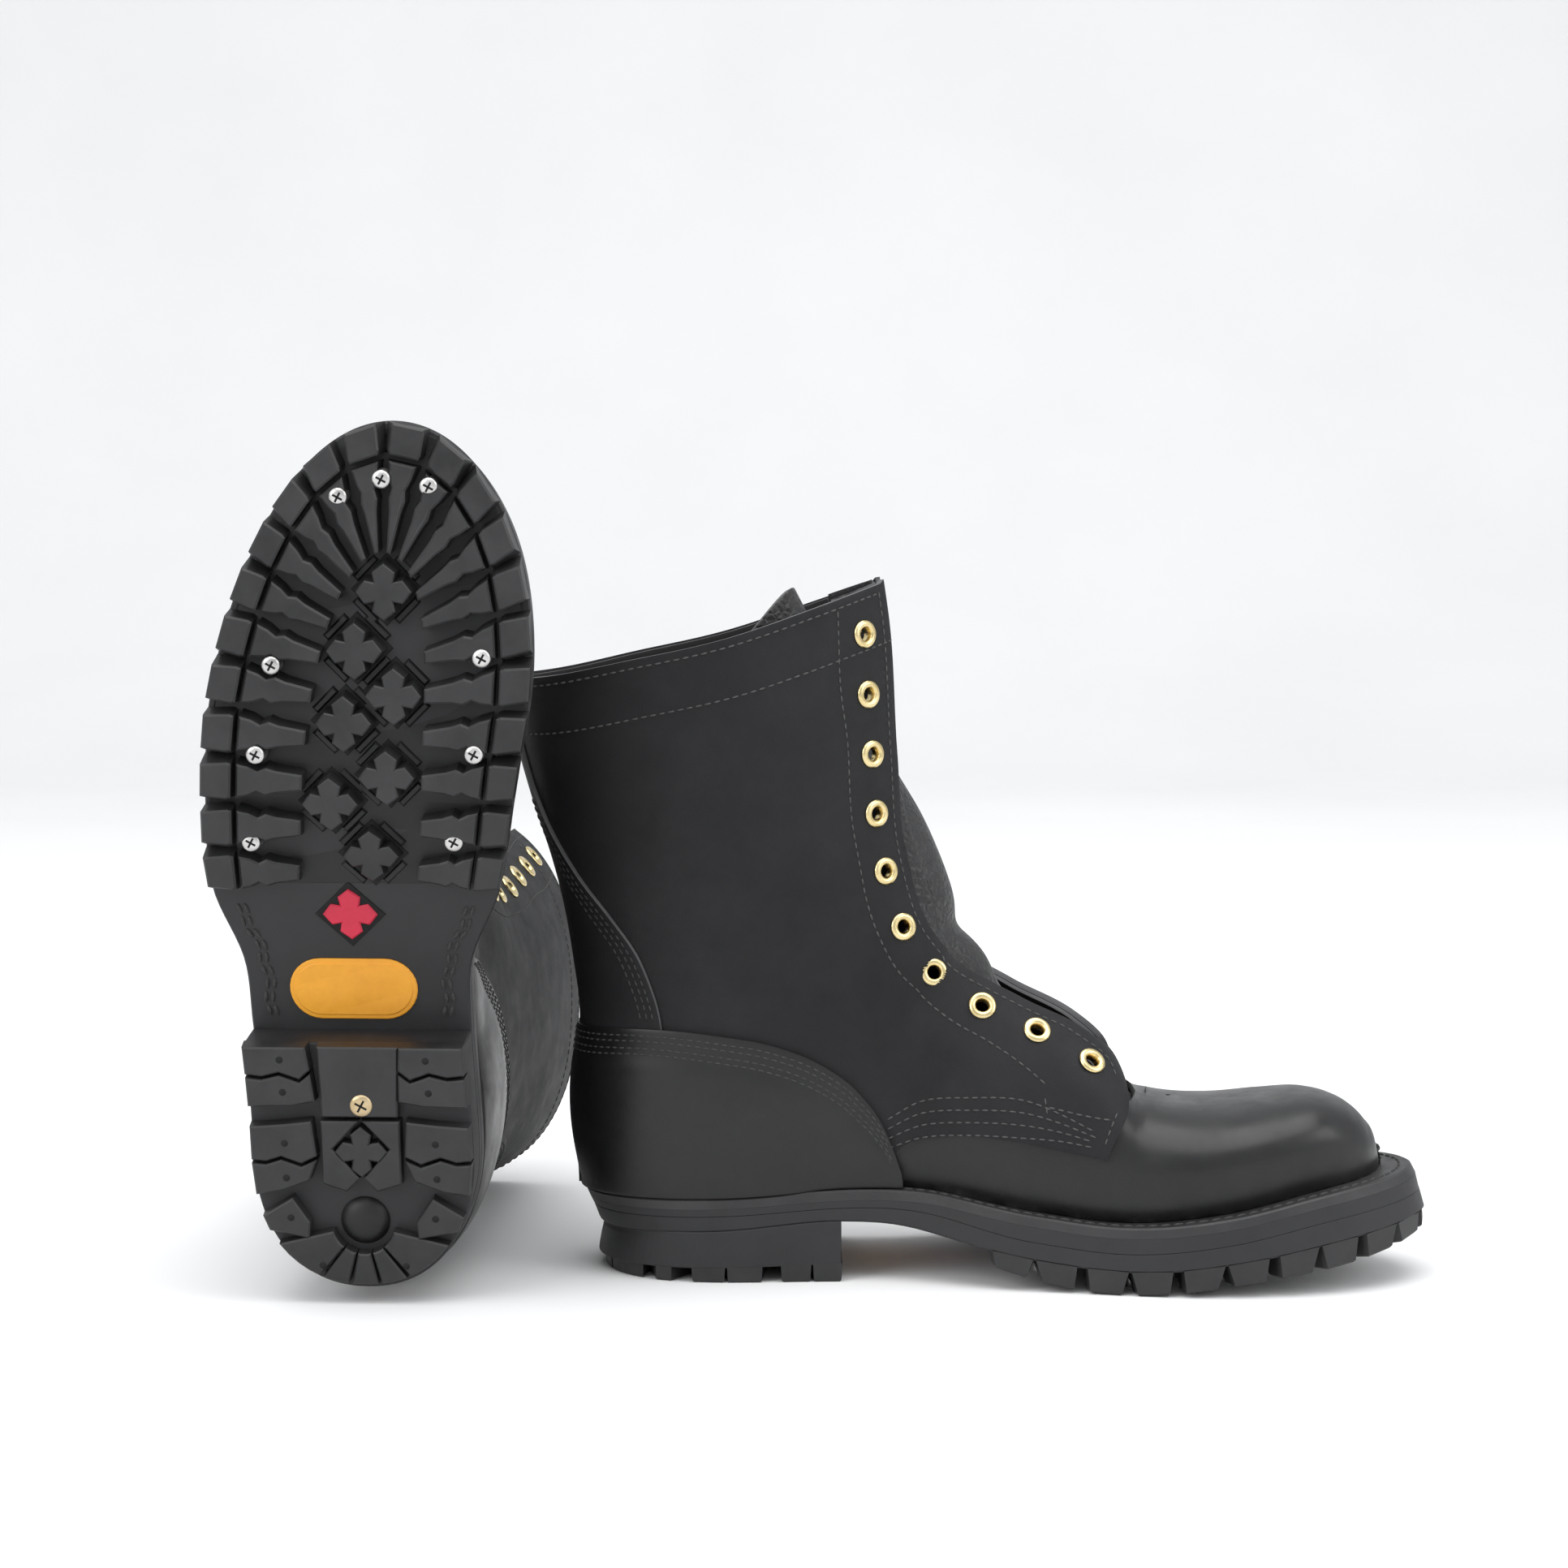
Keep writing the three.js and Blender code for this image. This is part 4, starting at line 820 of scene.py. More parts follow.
# Places (share of the sole's length, y)
field_centre = share_curve([(0.45, 1), (0.54, 4.5), (0.65, 7.5), (0.86, 15)])
PLUS_LUGS = [(0.819, 15.2), (0.755, 4.8), (0.706, 18.3), (0.676, 0.7), (0.6155, 15.1), (0.585, -5.1),
             (0.523, 7.9)]
RED_LUG = (0.448, -2)
SCREWS = [(0.9213, -0.4), (0.94, 14.6), (0.932, 31), (0.74, -24.1), (0.748, 49), (0.642, -30.2),
          (0.643, 45.9), (0.54, -33.8), (0.5413, 37.5)]
HEEL_SCREW = (0.238, 2)
HEEL_PLUS = (0.182, 1.3)
BADGE = (along(0.356), -2.8)


def fore_outline():
    """The forepart's outline from the inner waist round the toe to the outer waist, as a function of the
    share of its length."""
    t = np.linspace(0.12, 0.88, 900)
    points = outline(t, 7.0, SOLE_LENGTH, zero)
    points = points[points[:, 0] >= TREAD_REAR]
    walked = np.concatenate([[0], np.cumsum(np.hypot(*np.diff(points, axis=0).T))])
    walked /= walked[-1]
    return lambda share: np.stack([np.interp(share, walked, points[:, k]) for k in (0, 1)], -1)


def field_edge(share):
    """The edge of the sunk field in the middle of the tread, walked as the outline is."""
    share = np.asarray(share, float)
    inner = share < 0.5
    t = np.where(inner, share * 2, 2 - share * 2)
    x = TREAD_REAR + (FIELD_FRONT - TREAD_REAR) * np.sin(t * np.pi / 2)
    taper = np.sqrt(np.maximum(0, 1 - ((x - TREAD_REAR) / (FIELD_FRONT - TREAD_REAR)) ** 4))
    return np.stack([x, field_centre(x) + np.where(inner, 1, -1) * FIELD_HALF * taper], -1)


rim_walk = fore_outline()


def lug_outline(middle, profile, before=1.0, after=1.0):
    """An outline between the sole's rim and the field's edge. profile lists (depth from the rim as a share,
    half width as a share of a lug's pitch) from the rim inwards; before and after scale the half width on
    the two sides of the lug's middle."""
    depth = np.array([p[0] for p in profile])
    half = np.array([p[1] for p in profile]) / LUG_COUNT
    points = []
    for sign, order in ((-before, slice(None)), (after, slice(None, None, -1))):
        share = np.clip(middle + sign * half[order], 0.001, 0.999)
        d = depth[order][:, None]
        points.append(rim_walk(share) * (1 - d) + field_edge(share) * d)
    return np.concatenate(points)


def plus_outline(x, y, span, arm):
    """A plus whose arms widen towards their ends and finish in a point."""
    shape = [(arm * 0.42, -arm * 0.42), (span * 0.34, -arm * 0.5), (span * 0.4, -arm * 0.32), (span / 2, 0),
             (span * 0.4, arm * 0.32), (span * 0.34, arm * 0.5)]
    points = []
    for quarter in range(4):
        cos, sin = math.cos(quarter * math.pi / 2), math.sin(quarter * math.pi / 2)
        points += [(x + out * cos - across * sin, y + out * sin + across * cos) for out, across in shape]
    return np.array(points)


def bar_outline(x, y, length, width, angle):
    """A straight bar centred at (x, y)."""
    run = np.array([math.cos(angle), math.sin(angle)])
    side = np.array([-run[1], run[0]])
    middle = np.array([x, y])
    return np.array([middle + a * run * length / 2 + b * side * width / 2
                     for a, b in ((-1, -1), (1, -1), (1, 1), (-1, 1))])


def rim_lugs(boot):
    """The lugs round the rim: each an outer block that widens to its root, and a waisted inner one."""
    shapes = []
    for number in range(LUG_COUNT):
        middle = (number + 0.5) / LUG_COUNT
        toe = 1 - abs(2 * middle - 1)
        split = 0.32 - 0.08 * toe
        outer = [(0.0, 0.33), (0.05, 0.35), (split * 0.85, 0.39), (split, 0.36)]
        inner = [(split + 0.05, 0.36), (split + 0.17, 0.31), (split + 0.26, 0.22), (split + 0.34, 0.3),
                 (split + 0.44, 0.24), (0.94, 0.19), (1.0, 0.17)]
        before, after = (1.42, 1.18) if number % 2 else (1.18, 1.42)
        outer_root = lug_outline(middle, outer, before, after)
        inner_root = lug_outline(middle, inner, 1.25, 1.25)
        shapes.append((lug_outline(middle, outer), tread_bottom, block_root, outer_root))
        shapes.append((lug_outline(middle, inner), inner_lug_face, block_root, inner_root))
    blocks(boot, "rim_lugs", shapes, [tread_rubber])


def tread(boot):
    """The forepart's tread: rim lugs, the floor between them, and the plus-shaped lugs in the field, each
    in a square recess with a low ridge along its sides."""
    rim_lugs(boot)
    # The floor between the lugs is coloured darker than them: painted shade
    ground = inset_outline(rim_walk(np.linspace(0.004, 0.996, 120)), 2.0)
    blocks(boot, "groove_floor", [(ground, groove_face, block_root, 0.2)], [painted_shade_groove_rubber], rim=0.1)
    places = [(along(share), y) for share, y in PLUS_LUGS]
    red = (along(RED_LUG[0]), RED_LUG[1])
    pluses = [(plus_outline(*place, PLUS_SPAN, PLUS_ARM), plus_face, block_root, 0.8) for place in places]
    blocks(boot, "plus_lugs", pluses, [tread_rubber], rim=0.5)
    red_shape = (plus_outline(*red, PLUS_SPAN, PLUS_ARM), red_face, block_root, 0.3)
    blocks(boot, "red_lug", [red_shape], [red_rubber], rim=0.5)
    # The square recesses are near black plates a little proud of the floor: their colour is painted shade,
    # not depth
    recesses = [(bar_outline(*place, 17.5, 17.5, math.pi / 4), recess_face, block_root, 0.4)
                for place in places + [red]]
    blocks(boot, "plus_recesses", recesses, [painted_deep_shade_rubber], rim=0.1)
    # The ridges take the floor's darker colour: painted shade
    ridges = []
    for x, y in places:
        for quarter in range(4):
            angle = math.pi / 4 + quarter * math.pi / 2
            spot = (x + 10.2 * math.cos(angle), y + 10.2 * math.sin(angle))
            bar = bar_outline(*spot, 10, 2.2, angle + math.pi / 2)
            ridges.append((bar, ridge_face, block_root, 0.5))
    blocks(boot, "field_ridges", ridges, [painted_shade_groove_rubber], rim=0.4)


HEEL_REAR = 7.4
HEEL_FLARE = 2.6
HEEL_BLOCK = 7.0
DOME_REACH = 11.2
# The middle of the dome; the rays beside it, as pairs of angles in degrees; and the blocks in front of it,
# whose points are (x, share of the way from the middle to the edge)
HEEL_DOME = (30.5, 1.3)
HEEL_RAYS = ((-76, -40), (-37, -15), (-12, 12), (15, 37), (40, 76))
HEEL_PARTS = (
    [(86.4, 0.99), (96.5, 0.99), (96.5, 0.42), (88, 0.4), (84.6, 0.5), (87.2, 0.68), (85.6, 0.84)],
    [(74.5, 0.99), (85.0, 0.99), (84.4, 0.84), (86, 0.68), (83.4, 0.5), (86.6, 0.4), (76.5, 0.38),
     (74.8, 0.6)],
    [(54.6, 0.99), (67, 0.99), (67.8, 0.7), (69, 0.43), (56, 0.4), (53.2, 0.54), (55.8, 0.72), (54, 0.86)],
    [(41.5, 0.99), (53.2, 0.99), (52.8, 0.86), (54.6, 0.72), (52, 0.54), (54.6, 0.4), (46.8, 0.48),
     (43, 0.75)],
    [(33.5, 0.99), (28, 0.99), (25.0, 0.6), (31, 0.54), (40.2, 0.66)],
)
HEEL_WING = [(69, -14.2), (69, -0.6), (58.4, -10.3), (47.6, -0.8), (42.6, -5.4), (45.5, -14.2)]
HEEL_PLATE = [(70.5, -12.2), (96.5, -13.2), (96.5, 15.8), (70.5, 14.8)]
NAILS = ((92, 26), (80, 26), (61, 27), (48, 27), (33, 26), (15, 15))


def heel_ray(angle, reach=None):
    """A point on a ray from the middle of the heel's dome towards the back, on the outline or at reach."""
    way = np.array([-math.cos(angle), math.sin(angle)])
    middle = np.array(HEEL_DOME)
    if reach is None:
        def inside(r):
            x = middle[0] + way[0] * r
            aside = np.abs(middle[1] + way[1] * r - 1.2)
            return (plan_half(np.maximum(HEEL_REAR, x), HEEL_REAR, SOLE_LENGTH, 0) - aside) * (x > HEEL_REAR)

        reach = float(crossing(inside, 1.0, 60.0)) - 0.3
    return middle + way * reach


def heel_outline(side, points):
    """The outline of one of HEEL_PARTS on one side of the heel's underside."""
    x, across = np.array(points, float).T
    half = plan_half(x, 6.6, SOLE_LENGTH, 0)
    return np.stack([x, centre_line(x) + side * across * half], -1)


def heel_core(boot):
    """The heel above its blocks. Its back flares out towards the ground."""
    turn = np.linspace(0, 1, 40)
    rings = []
    # A level is (share of the height, share of the flare)
    for share, flare in [(0.28, 0.93), (0.4, 0.84), (0.62, 0.56), (0.85, 0.2), (0.93, 0.0), (1.0, 0.0)]:
        rear = HEEL_REAR - HEEL_FLARE * flare
        x = rear + (HEEL_BREAST - rear) * (1 - np.cos(np.pi * turn / 2))
        half = plan_half(x, rear, SOLE_LENGTH, 0)
        height = share * block_root(x)
        inner = np.column_stack([x, centre_line(x) + half, height])
        outer = np.column_stack([x, centre_line(x) - half, height])
        rings.append(np.concatenate([outer[::-1], inner[1:]]))
    soften(loft(boot, "heel_core", rings, [wall_rubber], smooth=False), 0.6, 2, 50)


def heel(boot):
    """The heel: its core, and under it the blocks, the plus, the dome and the nail holes."""
    heel_core(boot)
    root = level(HEEL_BLOCK)
    shapes = []
    for side in (-1, 1):
        for part in HEEL_PARTS:
            shapes.append((heel_outline(side, part), zero, root, 0.4))
        wing = np.array([(x, HEEL_DOME[1] - side * y) for x, y in HEEL_WING])
        shapes.append((wing, level(0.8), root, 0.4))
    for start, end in HEEL_RAYS:
        angle = np.radians(np.linspace(start, end, 5))
        outside = [heel_ray(a) for a in angle]
        inside = [heel_ray(a, DOME_REACH) for a in angle[::-1]]
        shapes.append((np.array(outside + inside), zero, root, 0.2))
    shapes.append((np.array(HEEL_PLATE), level(0.8), root, 0.3))
    plus = plus_outline(along(HEEL_PLUS[0]), HEEL_PLUS[1], 19, 7.4)
    shapes.append((plus, level(0.9), root, 0.4))
    blocks(boot, "heel_blocks", shapes, [tread_rubber], rim=0.6)
    # The dome, set back from the blocks' faces, is coloured darker: painted shade
    dome = [(0.01, 1.4), (3, 1.6), (6, 2.4), (8.5, 4.2), (9.4, 6.5), (9.4, 8)]
    turned(boot, "heel_dome", dome, [((*HEEL_DOME, 0), UP)], 28, [painted_shade_groove_rubber])
    # Each nail hole is a near black disc just behind the blocks' faces: painted shade for the hole
    spots = [((x, centre_line(x) + side * across, 0), UP) for side in (-1, 1) for x, across in NAILS]
    turned(boot, "nail_holes", [(0.01, -0.05), (1.3, -0.05), (1.4, 0.5)], spots, 14, [painted_deep_shade_rubber])


SCREW_SHANK = 6
SCREW_RADIUS = 3.3
HEEL_SCREW_RADIUS = 4.15
# How far above the tread's bottom a screw's rim is
SCREW_RIM = 0.85
HEEL_SCREW_RIM = 0.9


def cross_head_screws(boot, name, places, radius, material):
    """Cross-head screws: a domed head, and on it a dark cross, painted shade for the slots, that stands 0.12
    mm out of it.
    """
    section = [(0.01, -1.0), (radius * 0.55, -1.0), (radius * 0.9, -0.55), (radius, 0.0),
               (radius, SCREW_SHANK), (0.3, SCREW_SHANK)]
    turned(boot, name, section, [(np.array(place), UP) for place in places], 24, [material])
    crosses = []
    for x, y, z in places:
        for angle in (0.5, 0.5 + math.pi / 2):
            bar = bar_outline(x, y, radius * 1.15, 0.75, angle)
            crosses.append((bar, level(z - 1.12), level(z - 0.5), 0.0))
    # The crosses are near black: painted shade for the slots
    blocks(boot, name + "_slots", crosses, [painted_deep_shade_rubber], rim=0.06)


def screws(boot):
    fore = [(along(share), y, tread_bottom(along(share)) + SCREW_RIM) for share, y in SCREWS]
    cross_head_screws(boot, "sole_screws", fore, SCREW_RADIUS, screw_steel)
    back = [(along(HEEL_SCREW[0]), HEEL_SCREW[1], HEEL_SCREW_RIM)]
    cross_head_screws(boot, "heel_screw_head", back, HEEL_SCREW_RADIUS, screw_brass)


def badge(boot):
    """A plain stadium-shaped inlay with a raised middle."""
    x, y = BADGE
    reach = 11.5
    angle = np.linspace(0, np.pi, 16)
    shapes = []
    for radius, drop in ((11.5, 0.9), (9.9, 1.3)):
        upper = np.stack([x + radius * np.cos(angle), y + reach + radius * np.sin(angle)], -1)
        lower = np.stack([x - radius * np.cos(angle), y - reach - radius * np.sin(angle)], -1)
        stadium = np.concatenate([upper, lower])
        shapes.append((stadium, above(sole_underside, -drop), above(sole_underside, 1), 0.1))
    blocks(boot, "badge_inlay", shapes, [amber_rubber], rim=0.35)


def flat_row(x, y, z, way):
    """A row of stitches on a nearly level face that looks up (way 1) or down (way -1)."""
    return np.column_stack([x, y, z]), np.tile([0.0, 0.0, float(way)], (len(x), 1))


def sole_stitching(boot):
    """The channel stitches: on the welt's top round the forepart, and in the waist."""
    x, y = outline(np.linspace(0.17, 0.83, 400), 4.2, SOLE_LENGTH - 9.4, above(edge_inset, 4.2)).T
    rows = [flat_row(x, y, welt_top(x), 1)]
    stitches(boot, "welt_stitches", rows, dark_thread, length=3.6, pitch=4.6, radius=0.55)
    rows = []
    x = np.linspace(101, 147, 60)
    wave = 0.6 * np.sin(x * 0.45)
    for side in (-1, 1):
        for inset in (6.5, 9.0):
            y = centre_line(x) + side * (plan_half(x, 7, SOLE_LENGTH, 0) - inset - wave)
            rows.append(flat_row(x, y, sole_underside(x), -1))
    stitches(boot, "channel_stitches", rows, sole_thread, length=4.4, pitch=5.2, radius=0.8)


# ---------------------------------------------------------------------------------------------------------
# The upper
RIDGE_CENTRE = (along(0.745), 26.0)
VAMP_REAR = along(0.3)
VAMP_BOW = (-22, 24)
BELOW_COLLAR = 0.8
COVER_REACH = along(0.381) - 5
COLLAR_REACH = 91 + 32
COLLAR_BAND = 21
SIDES = ((1, "inner"), (-1, "outer"))


def ridge_point(share):
    """The ridge of the foot, met by rays from a point inside the toe."""
    angle = np.radians(13 + 113 * np.asarray(share, float))

    def spot(reach):
        return RIDGE_CENTRE[0] + reach * np.cos(angle), RIDGE_CENTRE[1] + reach * np.sin(angle)

    def inside(reach):
        x, z = spot(reach)
        return last_field(x, centre_line(x), z)

    return spot(crossing(inside, 5 + 0 * angle, 110 - 58 * share))


def vamp(boot):
    """The vamp: curves from the ridge of the foot down to the welt, bowed back where they pass the ankle."""
    sigma = np.linspace(0, 1, 140)[:, None]
    tau = np.linspace(-1, 1, 121)[None, :]
    top_x, top_z = ridge_point(sigma)
    toe_x, toe_z = ridge_point(np.array(0.0))
    foot_x = toe_x - (toe_x - VAMP_REAR) * sigma ** 2
    foot_z = np.where(sigma == 0, toe_z, welt_top(foot_x) + 0.3)
    bow = smoothstep(0.35, 1, sigma)
    bow_x = (top_x + foot_x) / 2 + VAMP_BOW[0] * bow
    bow_z = (top_z + foot_z) / 2 + VAMP_BOW[1] * bow
    t = tau * tau
    x = (1 - t) ** 2 * top_x + 2 * t * (1 - t) * bow_x + t * t * foot_x
    z = (1 - t) ** 2 * top_z + 2 * t * (1 - t) * bow_z + t * t * foot_z
    side = np.where(sigma == 0, 0, np.sign(tau))
    points, away = on_last(x, z, side, VAMP_OUTSIDE)
    sheet(boot, "vamp_leather", points, VAMP_LEATHER, [smooth_leather, dressed_edge], away)


def quarter_grid(rows, columns):
    """Points (q, z) of a quarter: a patch between the back seam, the front edge, the lower edge and the
    collar, each side's share of the edges weighted across it."""
    a = (np.linspace(0, 1, columns) ** 1.1)[None, :]
    b = np.linspace(0, 1, rows)[:, None]
    seam = 0.1
    low = float(leg_height(np.array(seam), quarter_foot))
    high = float(leg_height(np.array(seam), collar_top))
    edge_x, edge_z = front_edge(b)
    edge_q = unwrap(edge_x - back_line(edge_z))
    corner_low = (edge_q[0, 0], edge_z[0, 0])
    corner_high = (edge_q[-1, 0], edge_z[-1, 0])
    bottom_q = seam + (corner_low[0] - seam) * a
    bottom_z = leg_height(bottom_q, quarter_foot)
    bottom_z[0, -1] = corner_low[1]
    top_q = seam + (corner_high[0] - seam) * a
    top_z = leg_height(top_q, collar_top)
    top_z[0, -1] = corner_high[1]
    q = a * edge_q + (1 - b) * bottom_q + b * top_q - a * ((1 - b) * corner_low[0] + b * corner_high[0])
    z = ((1 - a) * (low + (high - low) * b) + a * edge_z + (1 - b) * bottom_z + b * top_z
         - (1 - a) * ((1 - b) * low + b * high) - a * ((1 - b) * corner_low[1] + b * corner_high[1]))
    return q, z


def eyelet_places(side, offset):
    """Centre and direction of each eyelet on one side."""
    start = (eyelet_line.span - (EYELET_COUNT - 1) * EYELET_PITCH) / 2
    share = (start + np.arange(EYELET_COUNT) * EYELET_PITCH) / eyelet_line.span
    x, z = eyelet_line(share)
    centre, _ = on_last(x, z, side, offset)
    base, _ = on_last(x, z, side, 0)
    axis = centre - base
    return centre, axis / np.linalg.norm(axis, axis=1, keepdims=True)


def away_from_eyelets(points, side):
    """Which quads of a grid keep clear of every eyelet's hole."""
    middle = (points[:-1, :-1] + points[1:, 1:]) / 2
    centre, axis = eyelet_places(side, QUARTER_OUTSIDE)
    keep = np.ones(middle.shape[:2], bool)
    for spot, way in zip(centre, axis):
        arm = middle - spot
        out = (arm * way).sum(axis=-1)
        radial = np.linalg.norm(arm - out[..., None] * way, axis=-1)
        keep &= (radial > EYELET_HOLE) | (np.abs(out) > 12)
    return keep


def quarters(boot):
    q, z = quarter_grid(150, 118)
    for side, word in SIDES:
        points, away = on_leg(side * q, z, QUARTER_OUTSIDE)
        sheet(boot, f"quarter_leather_{word}", points, QUARTER_LEATHER, [shaft_leather, cut_edge], away,
              away_from_eyelets(points, side))


def linings(boot):
    """The eyelet stays and the collar band, inside the quarters."""
    v = np.linspace(0, 1, 190)[:, None]
    u = np.linspace(0, 1, 22)[None, :]
    rear_x, rear_z = stay_edge(v)
    front_x, front_z = front_edge(0.11 + 0.885 * v)
    x = rear_x + (front_x - rear_x) * u
    z = np.minimum(rear_z + (front_z - rear_z) * u, collar_top(x) - BELOW_COLLAR)
    for side, word in SIDES:
        points, away = on_last(x, z, side, LINING_OUTSIDE)
        sheet(boot, f"eyelet_facing_{word}", points, LINING_LEATHER, [lining_leather, cut_edge], away,
              away_from_eyelets(points, side))
    reach = unwrap(COLLAR_REACH)
    q = np.linspace(-reach, reach, 180)[:, None]
    top = leg_height(q, collar_top)
    z = top - COLLAR_BAND + (COLLAR_BAND - 0.7) * np.linspace(0, 1, 12)[None, :]
    points, away = on_leg(q + 0 * z, z, LINING_OUTSIDE)
    sheet(boot, "collar_lining", points, LINING_LEATHER, [lining_leather, cut_edge], away)


def counter(boot):
    """The leather round the heel, thinner along its top edge and a little fuller below its stitch rows."""
    reach = float(unwrap(COVER_REACH))
    q = np.linspace(-reach, reach, 181)[:, None]
    low = leg_height(q, above(welt_top, 0.3))
    top = leg_height(q, cover_top)
    v = np.linspace(0, 1, 50)[None, :]
    z = low + (top - low) * v
    below_top = top - z
    offset = COVER_OUTSIDE + 0.35 * smoothstep(9, 16, below_top) - 0.25 * smoothstep(3, 0, below_top)
    points, away = on_leg(q + 0 * z, z, offset)
    sheet(boot, "heel_cover", points, COVER_LEATHER, [smooth_leather, dressed_edge], away, edge=0.8)


def back_strip(boot):
    """The backstay, from under the cover's top up to the collar."""
    low = float(cover_top(np.array(0.0))) - 3
    z = np.linspace(low, SHAFT_BACK + 0.4, 110)[:, None]
    q = backstay_edge(z) * np.linspace(-1, 1, 40)[None, :]
    points, away = on_leg(q, z + 0 * q, BACKSTAY_OUTSIDE)
    sheet(boot, "backstay_leather", points, BACKSTAY_LEATHER, [shaft_leather, cut_edge], away)


def eyelets(boot):
    """Brass eyelets: a rolled flange with a barrel through the leather."""
    section = [(EYELET_BORE, -3.4), (EYELET_BORE, 0.4), (EYELET_BORE + 0.4, 0.8), (3.9, 1.0), (4.7, 0.75),
               (EYELET_FLANGE, 0.25), (EYELET_FLANGE, -0.1), (3.35, -0.1), (3.25, -3.4), (EYELET_BORE, -3.4)]
    for side, word in SIDES:
        centre, axis = eyelet_places(side, QUARTER_OUTSIDE)
        turned(boot, f"eyelet_row_{word}", section, list(zip(centre, axis)), 28, [eyelet_brass])


def tongue_surface(u, v):
    """The tongue: its side line, arched across its width, with soft folds along it. Grid of points, and the
    direction out of it."""
    x, z = tongue_line(u)
    ahead_x, ahead_z = tongue_line(u + 0.01)
    behind_x, behind_z = tongue_line(u - 0.01)
    length = np.hypot(ahead_x - behind_x, ahead_z - behind_z)
    out_x = (ahead_z - behind_z) / length
    out_z = -(ahead_x - behind_x) / length
    fold = 1.6 * np.exp(-((u - 0.375) / 0.05) ** 2) - 1.6 * np.exp(-((u - 0.44) / 0.022) ** 2)
    fold = fold + 1.8 * np.exp(-((u - 0.53) / 0.09) ** 2) + 0.3 * np.sin(u * 34 + 2 * v)
    rolled = smoothstep(0.62, 0.95, u)
    arch = np.radians(TONGUE_ARCH + TONGUE_ROLL * rolled)
    arc = arch * v
    radius = TONGUE_HALF / np.sin(arch)
    away = fold * (1 - 0.5 * v * v) - radius * (1 - np.cos(arc))
    droop = 5 * rolled * v * v - 2.5 * rolled * np.sin(3 * v + 0.6)
    y = centre_line(x) + radius * np.sin(arc)
    points = np.stack([x + away * out_x, y, z + away * out_z - droop], -1)
    outward = np.stack(np.broadcast_arrays(out_x, 0 * y, out_z), -1)
    return points, outward


TONGUE_ARCH = 45
TONGUE_ROLL = 40


def tongue(boot):
    u = np.linspace(0, 1, 170)[:, None]
    v = np.linspace(-1, 1, 36)[None, :]
    points, away = tongue_surface(u + 0 * v, v + 0 * u)
    sheet(boot, "tongue_leather", points, TONGUE_LEATHER, [tongue_leather, cut_edge], away)


def gusset(boot, side, word):
    """A fold of soft leather from the tongue's edge back to the inside of the facing."""
    u = np.linspace(0.1, 0.64, 120)[:, None]
    edge, _ = tongue_surface(u, side + 0 * u)
    edge = edge[:, 0]
    share = np.linspace(0.16, 0.86, 120)
    x, z = front_edge(share)
    inside, _ = on_last(x - 4.5, z - 1.5, side, 0.2)
    t = np.linspace(0, 1, 14)[None, :, None]
    belly = np.sin(np.pi * t) * np.array([2.2, 0, 1.0])
    points = edge[:, None, :] * (1 - t) + inside[:, None, :] * t + belly
    away = np.broadcast_to(np.array([0.8, 0.55 * side, 0.4]), points.shape)
    materials = [tongue_leather, tongue_leather]
    return sheet(boot, f"gusset_{word}", points, GUSSET_LEATHER, materials, away, edge=0.3)


# ---------------------------------------------------------------------------------------------------------
# Stitching of the upper
def side_row(side, points, offset):
    """A row of stitches through points [x, z] seen from the side."""
    walk = path(points)
    x, z = walk(np.linspace(0, 1, 160))
    return on_last(x, z, side, offset)


def shifted(line, distance, low, high):
    """Points of a path moved sideways by distance, to its left as it is walked."""
    share = np.linspace(low, high, 40)
    x, z = line(share)
    dx, dz = np.gradient(x), np.gradient(z)
    length = np.hypot(dx, dz)
    return np.stack([x - distance * dz / length, z + distance * dx / length], -1)


def upper_stitching(boot):
    """Pale rows along the quarters' edges, the stays, the collar and the lower seam, and dark rows along
    the cover's top and the backstay."""
    rows = []
    for side, _ in SIDES:
        rows.append(side_row(side, shifted(front_edge, 2.4, 0.115, 0.985), QUARTER_OUTSIDE))
        rows.append(side_row(side, [
            (92.4, 248), (94, 216), (95.7, 204), (98.3, 169), (101, 154.6), (104.2, 139.8), (109.5, 126.3),
            (116.3, 114.4), (127, 104), (138.5, 95.6), (151, 88.2), (164, 79.3), (172, 73)], QUARTER_OUTSIDE))
        for drop, reach in ((3.0, 151), (20.5, 152)):
            q = np.linspace(2, reach, 200)
            rows.append(on_leg(side * q, leg_height(q, collar_top) - drop, QUARTER_OUTSIDE))
        for near in (0.0, 0.33, 0.66, 1.0):
            top = [(113, 59.6 - 10.6 * near), (126.7, 66.6 - 13.3 * near), (144.7, 69 - 13.5 * near),
                   (163, 68.4 - 13.2 * near), (179, 62.5 - 8.5 * near), (190, 57 - 5.0 * near)]
            rows.append(side_row(side, top, QUARTER_OUTSIDE))
        for start, end in (((171, 69.5), (172.5, 61)), ((196, 63), (192, 50.5)), ((172, 66), (195.5, 60.5))):
            rows.append(side_row(side, np.linspace(start, end, 3), QUARTER_OUTSIDE))
    stitches(boot, "upper_stitches", rows, pale_thread, length=2.4, pitch=3.4, radius=0.36)
    dark = []
    reach = float(unwrap(COVER_REACH))
    q = np.linspace(-reach + 3, reach - 3, 400)
    top = leg_height(q, cover_top)
    for drop in (2.6, 4.8, 7.6, 9.8):
        dark.append(on_leg(q, top - drop, COVER_OUTSIDE))
    z = np.linspace(97, 178, 120)
    for side, _ in SIDES:
        for inset in (2.2, 4.2, 6.4):
            reach_q = np.maximum(backstay_edge(z) - inset, 2.5)
            dark.append(on_leg(side * reach_q, z, BACKSTAY_OUTSIDE))
    stitches(boot, "heel_stitches", dark, dark_thread, length=2.3, pitch=3.2, radius=0.36)


